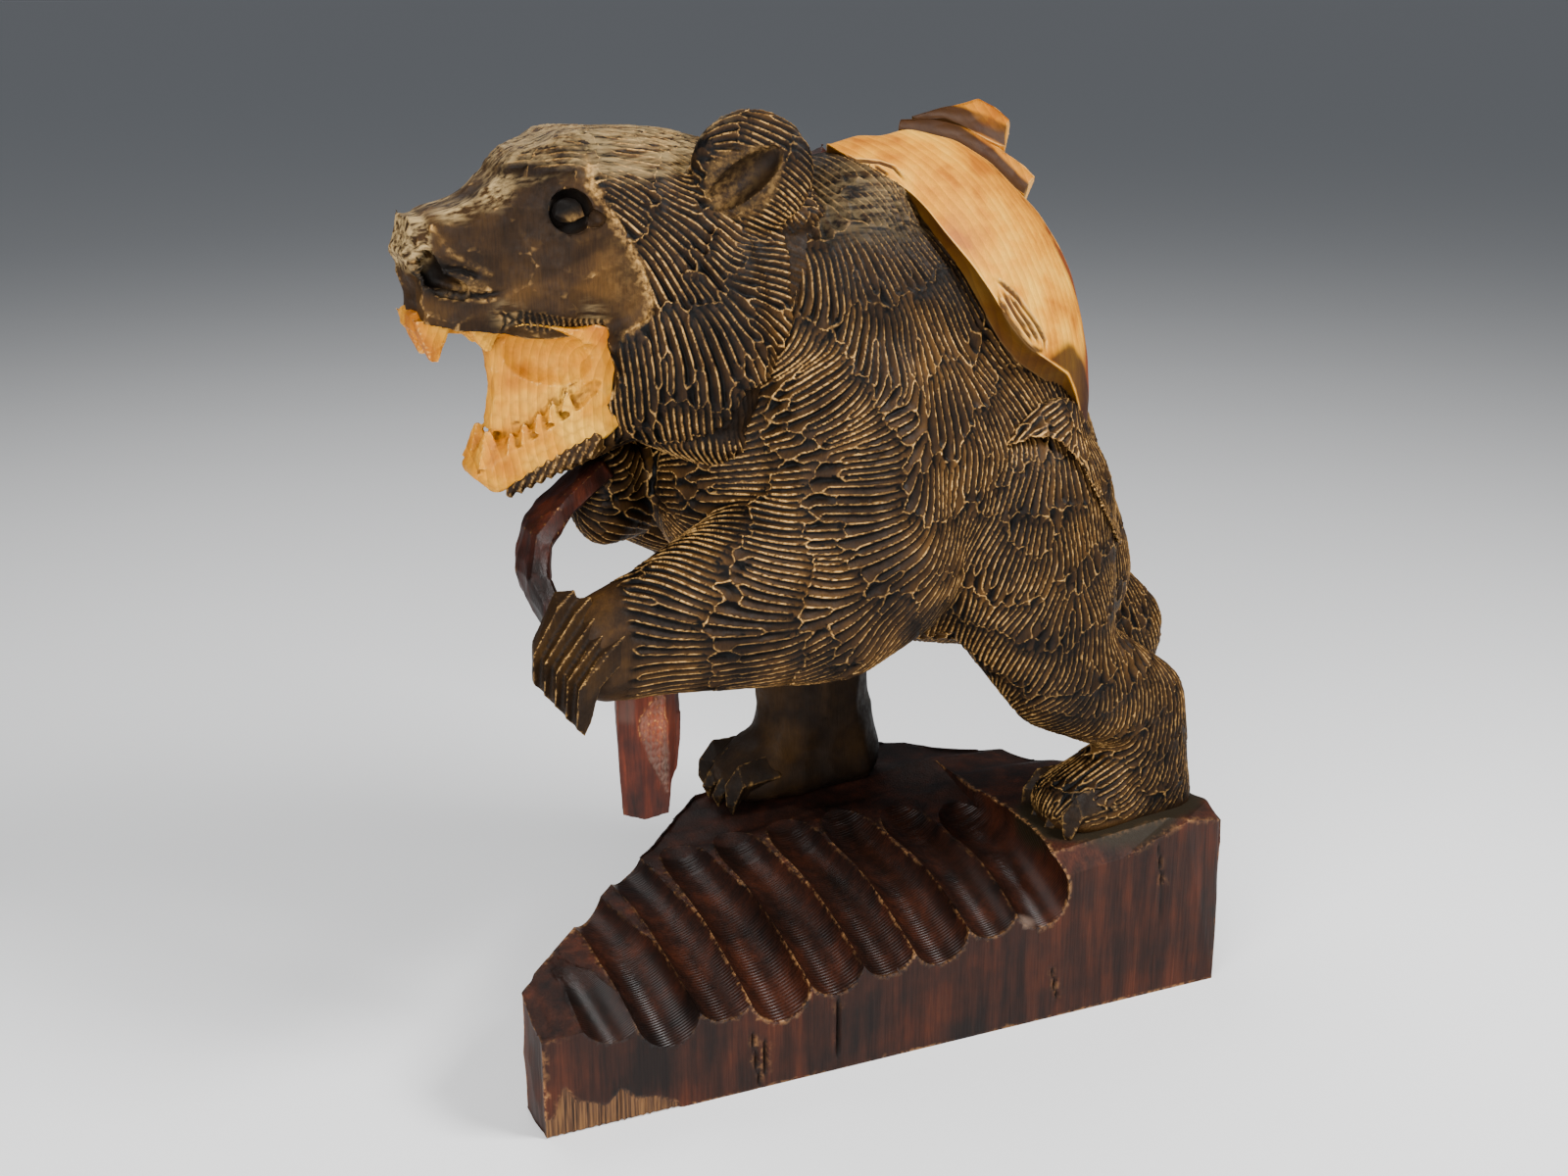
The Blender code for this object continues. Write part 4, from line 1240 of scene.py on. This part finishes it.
def shape_face(obj):
    """Cuts the planes, creases and folds of the face and marks where it is rubbed or bare, where it gets a
    painted grey sheen, and where it is black or lies in painted shade.
    """
    points = left_half(places(obj))
    x, y, z = points.T
    furry = head_furry(points)
    chisel(obj, 15, 2.2, 51, (1.5, 1, 1), smooth(1 - furry) * smooth((z - 335) / 5))
    pad = smooth((-188 - x) / 3) * smooth((z - 366) / 4)
    chisel(obj, 13, 1.3, 52, (1, 1, 1.2), pad)
    wing = from_line(points, ((-188, -19, 386), (-182, -22, 376), (-167, -26, 367)))[0]
    press(obj, -0.7 * smooth(1 - wing / 2.6))
    creases = incise(obj, on_both_sides(FACE_FOLDS), 3.4, 2.0)
    creases = np.maximum(creases, 0.8 * incise(obj, on_both_sides(LIP_CUTS), 2.4, 1.3))
    sharp = np.maximum(sharpness(obj), 0)
    ridge = smooth(1.25 - abs(behind_face(points)) / 1.7) * smooth((z - 338) / 6) * smooth((414 - z) / 6)
    ruff_edge = np.interp(z, *zip(*RUFF_EDGE))
    step = smooth((x - ruff_edge) / 1.6 + 0.5) * smooth((z - 288) / 8) * smooth((388 - z) / 8)
    step = step * smooth((30 + x) / -20 + 1.5)
    press(obj, RUFF_STEP * step)

    # Painted sheen, as grey: on the forehead's upward faces, on two ovals along the muzzle's top, on two
    # spots by the lip and over the nose pad.
    up = outwards(obj)[:, 2]
    forehead = smooth((up - 0.35) / 0.4) * smooth((z - 400) / 8)
    forehead = forehead * smooth((-62 - x) / 20) * smooth((x + 172) / 8)
    leaf, along_leaf = from_line(points, ((-86, -49, 388), (-50, -52, 414)))
    leaf = smooth(1.6 - leaf / (1.5 + 8.5 * np.sin(np.pi * along_leaf)))
    furry = furry * (1 - leaf)
    muzzle_sheen = np.maximum(near_point(points, (-178, -14, 394), (13, 12, 9)),
                       near_point(points, (-163, -19, 400), (11, 12, 10)))
    silver_sheen = np.maximum(near_point(points, (-161, -28, 350), (8, 8, 8)),
                        near_point(points, (-127, -36, 349), (7, 8, 8)))
    rough_patch = near_point(points, (-113, -40, 366), (13, 14, 24)) * (1 - furry)
    below_nostril = near_point(points, (-178, -23, 362), (12, 8, 4))
    behind_ruff = smooth(1.6 - abs(x - ruff_edge - 3) / 6) * smooth((408 - z) / 6)
    sooty = near_point(points, (-180, -24, 366), (22, 12, 16))
    sooty = sooty + near_point(points, (-150, -29, 348), (30, 12, 12))
    # Painted shade, as dark: under the ear, in the eye socket and the nostril, in the creases and lip cuts,
    # and in the ear's hollow, darkest at its lower end.
    under_ear_shade = near_point(points, (-60, -50, 374), (17, 16, 13))
    socket = near_point(points, (-136, -33, 392), (9.5, 14, 9.0))
    nostril = near_point(points, (-189, -19, 367), (8, 9, 9))
    mark(obj, furry=furry, handled=0.75 + 0.25 * smooth((398 - z) / 12),
         grey=np.clip(0.62 * forehead + 1.3 * muzzle_sheen + 0.7 * silver_sheen + pad, 0, 0.9),
         bare=np.clip(0.10 * rough_patch + 0.65 * ridge + 0.8 * below_nostril
                      + 0.35 * smooth(1 - wing / 1.4) + 0.9 * leaf * (1 - leaf), 0, 1),
         edge=smooth((sharp - 0.08) / 0.2) * np.maximum(1 - furry, 0.30) * (1 - behind_ruff),
         dark=np.clip(creases + 0.9 * under_ear_shade + 4 * socket + 3 * nostril + leaf * (1.0 - 0.5 * along_leaf)
                      + 0.45 * rough_patch + 0.8 * sooty * (1 - furry), 0, 0.93))


def make_head(tree, material):
    obj = melt(object_of("head", head() + nose() + mirrored(ear)), HEAD_FORM_GRID, 2)
    coat = Coat(obj, HEAD_LIE, head_furry, head_cut, 3).fill()
    join_with(obj, "mouth", mouth_opening())
    join_with(obj, "hollows", mirrored(hollows))
    melt(obj, HEAD_GRID, 1)
    shape_face(obj)
    carve(obj, coat, tree, material)
    dress(obj, material, HEAD_TRIANGLES)


def make_eyes(material):
    """Black eyes, each with a painted highlight: a pale spot where the black is left off."""
    obj = object_of("eyes", mirrored(eyeball))
    # The painted highlight is laid as the edge mark, pale wood, with the black taken away under it.
    glint = near_point(left_half(places(obj)), (-133, -38, 388), (6, 4, 4))
    mark(obj, edge=np.clip(1.5 * glint, 0, 0.8), dark=0.94 * (1 - np.clip(3 * glint, 0, 1)))
    dress(obj, material, crease=25)


# How the coat lies on the tail: out from its root to its fringe.
TAIL_LIE = ((84, -60, 292, -9, -3, -3), (70, -66, 290, -8, -2, -6), (98, -58, 284, -3, -4, -9),
            (104, -62, 268, 0, -4, -9), (112, -58, 250, 2, -4, -9), (124, -50, 236, 4, -4, -8),
            (112, -44, 276, 2, -4, -9))


def make_tail(tree, material):
    obj = object_of("tail", tail_fan())
    coat = Coat(obj, TAIL_LIE, lambda points: np.ones(len(points)), lambda place: (2.8, 15), 9).fill()
    melt(obj, TAIL_GRID, 0)
    wear_edges(obj, 0.10, 0.30)
    fringe = from_line(places(obj), TAIL_FRINGE)[0]
    mark(obj, bare=0.9 * smooth(1.6 - fringe / 1.4), furry=1.0, handled=1.0)
    carve(obj, coat, tree, material, 1.1, 0.2)
    dress(obj, material, TAIL_TRIANGLES)


def body_furry(points):
    """Where the body has strokes: not on the soles, the left paw's palm or the right shin."""
    x, y, z = points.T
    palm = smooth((-126 - x) / 6) * (y < 0)
    soles = smooth((96 - z) / 6)
    return 1.0 - np.maximum(np.maximum(palm, soles), right_shin(points))


def right_shin(points):
    x, y, z = points.T
    return smooth((y - 8) / 4) * smooth((170 - z) / 14) * smooth((60 - x) / 6)


def body_cut(place):
    """The widest strokes on the left arm, long ones on the back, fine ones on the thigh and down the legs."""
    arm = min(1.0, max(0.0, (34 - place.x) / 16)) * min(1.0, max(0.0, (318 - place.z) / 20))
    back = min(1.0, max(0.0, (place.z - 290) / 30))
    return 2.6 + 0.7 * arm + 0.2 * back, 22 + 12 * max(arm, back)


def sink_below(obj, solids, gap=3.0, reach=16.0):
    """Lowers a skin where another piece lies on it, so that it doesn't come through."""
    cover = object_of("cover", solids)
    skin = skin_of(cover)
    bpy.data.objects.remove(cover)
    own = places(obj)
    for i in np.nonzero((own[:, 2] > 270) & (own[:, 0] > -30))[0]:
        place = Vector(own[i])
        hit, normal, face, away = skin.find_nearest(place, reach)
        if hit is not None:
            above = (place - hit).dot(normal)
            if normal.z > 0.15 and above > -gap and abs(above) > 0.85 * away:
                own[i] = place - normal * (above + gap)
    put(obj, own)


def parted(obj, places_along):
    """Cuts a skin that has too many faces for one piece into closed slices along X."""
    pieces = []
    ends = [None, *places_along, None]
    for i, (low, high) in enumerate(zip(ends, ends[1:])):
        part = bmesh.new()
        part.from_mesh(obj.data)
        for limit, sign in ((low, -1), (high, 1)):
            if limit is not None:
                everything = part.verts[:] + part.edges[:] + part.faces[:]
                cut = bmesh.ops.bisect_plane(part, geom=everything, plane_co=at(limit, 0, 0),
                                             plane_no=(sign, 0, 0), clear_outer=True)
                rim = [e for e in cut["geom_cut"] if isinstance(e, bmesh.types.BMEdge)]
                bmesh.ops.holes_fill(part, edges=rim)
                for edge in rim:
                    edge.smooth = False
        name = f"{obj.name}_{i + 1}"
        mesh = bpy.data.meshes.new(name)
        part.to_mesh(mesh)
        part.free()
        pieces.append(linked(name, mesh))
    bpy.data.objects.remove(obj)
    return pieces


def make_body(tree, material):
    obj = object_of("body", torso() + left_arm() + right_arm() + left_leg() + right_leg())
    melt(obj, FORM_GRID, 4)
    chisel(obj, 15, 1.8, 13, (1, 1, 1.7), right_shin(places(obj)))
    coat = Coat(obj, BODY_LIE, body_furry, body_cut, 7).fill()
    melt(obj, COAT_GRID, 2)
    sink_below(obj, salmon_flank())
    points = places(obj)
    x, y, z = points.T
    # Painted sheen on the top of the neck, as grey; painted shade in the armpit, and the far shin darker.
    neck_top = near_point(points, (0, -36, 392), (44, 34, 26))
    back = smooth((z - 318) / 30) * smooth((x + 60) / 20)
    armpit_shade = near_point(points, (16, -60, 205), (26, 40, 22))
    mark(obj, furry=body_furry(points), grey=np.clip(0.3 * neck_top, 0, 0.25),
         handled=1.0 - np.maximum(0.55 * back, 0.30 * smooth((x - 40) / 30)),
         dark=np.clip(1.2 * armpit_shade + 0.55 * right_shin(points), 0, 0.6))
    carve(obj, coat, tree, material)
    thin_out(obj, BODY_TRIANGLES)
    for piece in parted(obj, BODY_SLICES):
        dress(piece, material)


# Marks on the plinth's near face, as x and z: five checks in the wood, and where its foot is torn.
NEAR_CHECKS = (((-36, 39), (-36, 18), (-35, 1)), ((135, 83), (139, 58), (139, 37)),
               ((78, 28), (80, 16), (82, 8)), ((-79, 32), (-77, 16), (-75, 0)), ((-72, 26), (-73, 4)))
TORN_FOOT = ((-178, 9), (-172, 10), (-167, 25), (-162, 16), (-154, 13), (-148, 10), (-141, 17), (-134, 10),
             (-125, 9), (-116, 3), (-109, -6))


def make_plinth():
    obj = object_of("plinth", rough_plinth())
    join_with(obj, "slopes", near_slopes())
    join_with(obj, "flutes", [flute(i) for i in range(len(FLUTES))])
    remesh = obj.modifiers.new("even skin", "REMESH")
    remesh.mode = "SHARP"
    remesh.octree_depth = 8
    remesh.scale = 0.95
    bake(obj)
    x, y, z = places(obj).T
    ends = smooth((-168 - x) / 4) + smooth((x - 172) / 3)
    chisel(obj, 20.0, 1.4, 11, (1, 1, 1.6), np.clip(ends, 0, 1) * smooth((y + 84) / 3))
    x, y, z = places(obj).T
    chisel(obj, 24.0, 3.4, 12, (2.4, 1, 1), smooth((y - 8) / 14) * smooth((z - 30) / 30))
    x, y, z = places(obj).T
    torn = smooth((-82 - y) / 1.5) * smooth((np.interp(x, *zip(*TORN_FOOT)) - z) / 1.5 + 0.5)
    press(obj, torn * (0.9 + 0.5 * np.sin(1.9 * x) * np.sin(0.31 * x + 1.0)))
    cracks = incise(obj, [[(x, -85, z) for x, z in line] for line in NEAR_CHECKS], 2.0, 2.2)

    points = places(obj)
    x, y, z = points.T
    in_flute, along = np.zeros_like(x), np.zeros_like(x)
    for i in range(len(FLUTES)):
        line, radius = sweep(i)
        away, share = from_line(points, line)
        inside = smooth((radius + 0.8 - away) / 0.6)
        along = np.where(inside > in_flute, share * FLUTE_RUN, along)
        in_flute = np.maximum(in_flute, inside)
    # Painted shade: the plinth's far part, its checks and its flutes are darkened as shade.
    far = 0.45 * smooth((y + 20) / 45) * smooth((z - 40) / 20)
    foot = np.linalg.norm((points - (128, -52, 88)) / (1.0, 0.62, 0.5), axis=1)
    torn_tip = near_point(points, (66, -84, 57), (8, 6, 6))
    mark(obj, flute=in_flute, sweep=along, bare=torn, olive=smooth((56 - foot) / 8),
         grey=np.clip(1.3 * torn_tip, 0, 0.45), dark=np.clip(cracks * 2.0 + far + 0.42 * in_flute, 0, 0.97),
         edge=0.8 * smooth((sharpness(obj) - 0.12) / 0.24) * (1 - np.minimum(3 * cracks, 1)))
    return obj


def cut_piece(name, solids, grid, size, depth, seed, black=0.0):
    """A small piece cut with a flat gouge: its forms made one skin, scooped all over, its edges rubbed, and
    painted shade laid dark in its hollows.
    """
    obj = melt(object_of(name, solids), grid, 0)
    chisel(obj, size, depth, seed)
    wear_edges(obj, 0.07, 0.22)
    # Painted shade: dark where the skin bends inwards, in the hollows between forms; black darkens the whole
    # piece.
    mark(obj, dark=np.maximum(0.85 * smooth((-sharpness(obj) - 0.04) / 0.14), black))
    return obj


# The gill's cuts and the side fin's, on the flank.
SALMON_CUTS = (((-6, -27, 411), (2, -27, 412), (10, -26, 410), (16, -27, 406), (19, -31, 400)),
               ((-8, -24, 411), (-5, -27, 406), (0, -30, 402)), ((-3, -27, 409), (2, -29, 404)),
               ((2, -28, 410), (7, -30, 403)), ((7, -28, 409), (12, -30, 403)),
               ((50, -58, 358), (62, -60, 349), (71, -63, 339), (76, -65, 330), (75, -66, 326)),
               ((50, -60, 352), (52, -65, 341), (58, -68, 332), (66, -69, 326), (73, -67, 325)),
               ((53, -60, 352), (60, -64, 341), (68, -67, 330)),
               ((57, -60, 350), (66, -64, 339), (72, -66, 329)),
               ((52, -62, 347), (57, -66, 337), (64, -68, 328)))


def make_salmon():
    obj = object_of("salmon", salmon_flank())
    points = places(obj)
    x, y, z = points.T
    cuts = incise(obj, SALMON_CUTS, 2.6, 1.1)
    from_rim = from_line(points, SALMON_RIM)[0]
    up = outwards(obj)[:, 2]
    # Painted shadow: wall is the face of the step below the rim that looks down, darkened as shade under it,
    # and the gill's and fin's cuts are darkened as shade in them.
    wall = smooth((0.35 - up) / 0.2) * smooth((16 - from_rim) / 4) * smooth((from_rim - 0.4) / 0.8)
    from_back = from_line(points, SALMON_BACK[5:])[0]
    scorch = 1.5 * smooth(1.5 - from_back / 12) + 0.8 * smooth((x - 92) / 14) * smooth((326 - z) / 14)
    mark(obj, scorch=scorch, dark=np.clip(0.95 * wall + 1.5 * cuts, 0, 0.9))
    wear_edges(obj, 0.03, 0.14)
    return obj


def make_fins():
    obj = object_of("salmon_fins", fin_lobe(*LOWER_LOBE, 3, 8, -6) + fin_lobe(*UPPER_LOBE, 4, 7, -7))
    points = places(obj)
    # Painted shade: a dark band in the scoop below each lobe's ridge, on its near side.
    dark = np.zeros(len(points))
    for root, ridge in (LOWER_LOBE, UPPER_LOBE):
        band = np.array(root) * 0.62 + np.array(ridge) * 0.38
        dark = np.maximum(dark, smooth((5.6 - from_line(points, band)[0]) / 1.6))
    behind = smooth((points[:, 1] - 9.5) / 2)
    chisel(obj, 7, 0.5, 5, (2, 1, 1))
    wear_edges(obj, 0.04, 0.2)
    mark(obj, dark=0.95 * dark * (1 - behind), scorch=0.7)
    return obj


def make_mouth():
    obj = melt(object_of("mouth_wood", mouth_inside() + upper_gum() + lower_jaw()), 0.9, 1)
    join_with(obj, "scoops", mirrored(mouth_scoops))
    join_with(obj, "teeth", teeth(), "UNION")
    melt(obj, 0.75, 1)
    crest = chisel(obj, 7.5, 0.7, 21)
    creases = on_both_sides([((-134, 27, 321), (-142, 22, 313), (-150, 17, 305), (-158, 13, 301))])
    cuts = incise(obj, creases, 2.4, 1.6)
    wear_edges(obj, 0.08, 0.3)
    # Painted shade: deep is where the skin bends inwards, and darkens and browns the hollows; the tongue's
    # creases are darkened as painted shade too.
    deep = smooth((-sharpness(obj) - 0.02) / 0.10)
    mark(obj, dark=np.clip(0.75 * cuts + 0.45 * deep, 0, 0.8), scorch=0.35 * crest + 0.4 * deep)
    return obj


def make_strap_end():
    """The strap's end with the torn diamond on its near side and the planed corner above it."""
    obj = melt(object_of("strap_end", strap_end()), 0.7, 0)
    chisel(obj, 11, 0.7, 31, (1, 1, 2.6))
    x, y, z = places(obj).T
    middle = np.interp(z, (144, 165, 180, 188), (-108, -113, -115, -112))
    half = np.interp(z, (144, 160, 176, 189), (1.0, 5.0, 6.5, 2.0))
    torn = smooth((half - abs(x - middle)) / 0.8 + 0.5) * smooth((-57 - y) / 1.0) * (z > 143) * (z < 190)
    ragged = 0.5 + 0.5 * np.sin(1.7 * x + 2.0 * np.sin(0.9 * z)) * np.sin(0.8 * z + 1.9 * np.sin(1.3 * x))
    press(obj, torn * (0.5 + 0.7 * ragged))
    corner = smooth((-122 - x) / 1.5) * smooth((z - 176) / 4) * smooth((-56 - y) / 2)
    wear_edges(obj, 0.10, 0.34)
    # Painted shade: darker towards its far side.
    mark(obj, grey=0.28 * torn * ragged + 0.12 * corner, dark=0.25 * smooth((y + 52) / 6),
         bare=0.8 * smooth((-126 - x) / 2) * smooth((140 - z) / 5))
    return obj


def main():
    coat = stained_linden()
    gouge = gouge_tree()
    bare = bare_linden()
    strap = reddish("strap_stain", "#1c0a05", "#471a0c", "#742f12", "#b9824a", 0.48)
    base = reddish("plinth_stain", "#120805", "#2b140b", "#452011", "#b08050", 0.55)
    make_head(gouge, coat)
    make_body(gouge, coat)
    dress(cut_piece("fingers", left_fingers(), 0.7, 9, 0.4, 41, 0.3), coat, 22000)
    dress(cut_piece("toes", toes(97, -52, 36) + toes(-38, 46, 36), 0.8, 9, 0.4, 42, 0.6), coat, 22000)
    dress(cut_piece("chin_tufts", chin_tufts(), 0.8, 9, 0.3, 43), coat, 10000)
    make_eyes(coat)
    make_tail(gouge, coat)
    dress(make_mouth(), bare, 46000, 40)
    dress(make_salmon(), bare, 40000, 32)
    dress(make_fins(), bare, crease=32)
    dress(cut_piece("strap_bow", strap_bow(), 0.8, 16, 1.6, 32, 0.6), strap, 14000, 30)
    dress(make_strap_end(), strap, 18000, 30)
    dress(cut_piece("strap_band", strap_band(), 1.0, 16, 1.2, 33, 0.5), strap, 12000, 30)
    dress(make_plinth(), base, 110000, 28)


def studio():
    """White paper under the plinth, and three soft lamps."""
    floor = bmesh.new()
    bmesh.ops.create_grid(floor, x_segments=1, y_segments=1, size=60.0)
    mesh = bpy.data.meshes.new("floor")
    floor.to_mesh(mesh)
    floor.free()
    paper = bpy.data.materials.new("studio_paper")
    paper.use_nodes = True
    for name, value in (("Base Color", "#f6f6f6"), ("Roughness", 0.8)):
        feed(paper.node_tree, paper.node_tree.nodes["Principled BSDF"].inputs[name], value)
    mesh.materials.append(paper)
    linked("floor", mesh)

    world = bpy.data.worlds.new("studio")
    world.use_nodes = True
    for name, value in (("Color", "#a8adb4"), ("Strength", 0.30)):
        feed(world.node_tree, world.node_tree.nodes["Background"].inputs[name], value)
    bpy.context.scene.world = world

    for name, place, aim, size, power in (("key", (0.55, -0.6, 1.0), (0.0, 0.0, 0.22), 0.4, 22.0),
                                          ("fill", (-0.80, -0.85, 0.6), (-0.15, -0.2, 0.1), 0.9, 23.0),
                                          ("top", (-0.2, 0.6, 1.4), (0.0, 0.0, 0.3), 0.9, 11.0)):
        lamp = bpy.data.lights.new(name, "AREA")
        lamp.size = size
        lamp.energy = power
        obj = linked(name, lamp)
        obj.location = place
        obj.rotation_euler = (Vector(aim) - Vector(place)).to_track_quat("-Z", "Y").to_euler()


def camera():
    """The photograph's viewing angle: 18 degrees down, turned 23.5 degrees from square on."""
    yaw = math.radians(23.4973)
    pitch = math.radians(18.0)
    right = Vector((math.cos(yaw), -math.sin(yaw), 0))
    ahead = Vector((math.sin(yaw) * math.cos(pitch), math.cos(yaw) * math.cos(pitch), -math.sin(pitch)))
    lens = bpy.data.cameras.new("camera")
    lens.sensor_width = 36.0
    lens.lens = 42.75
    lens.clip_start = 0.02
    obj = linked("camera", lens)
    # The place is the one fitted to the photograph, in metres.
    turn = Matrix((right, right.cross(ahead), -ahead)).transposed().to_4x4()
    obj.matrix_world = Matrix.Translation((-0.358963, -0.760067, 0.479147)) @ turn
    bpy.context.scene.camera = obj


main()
studio()
camera()
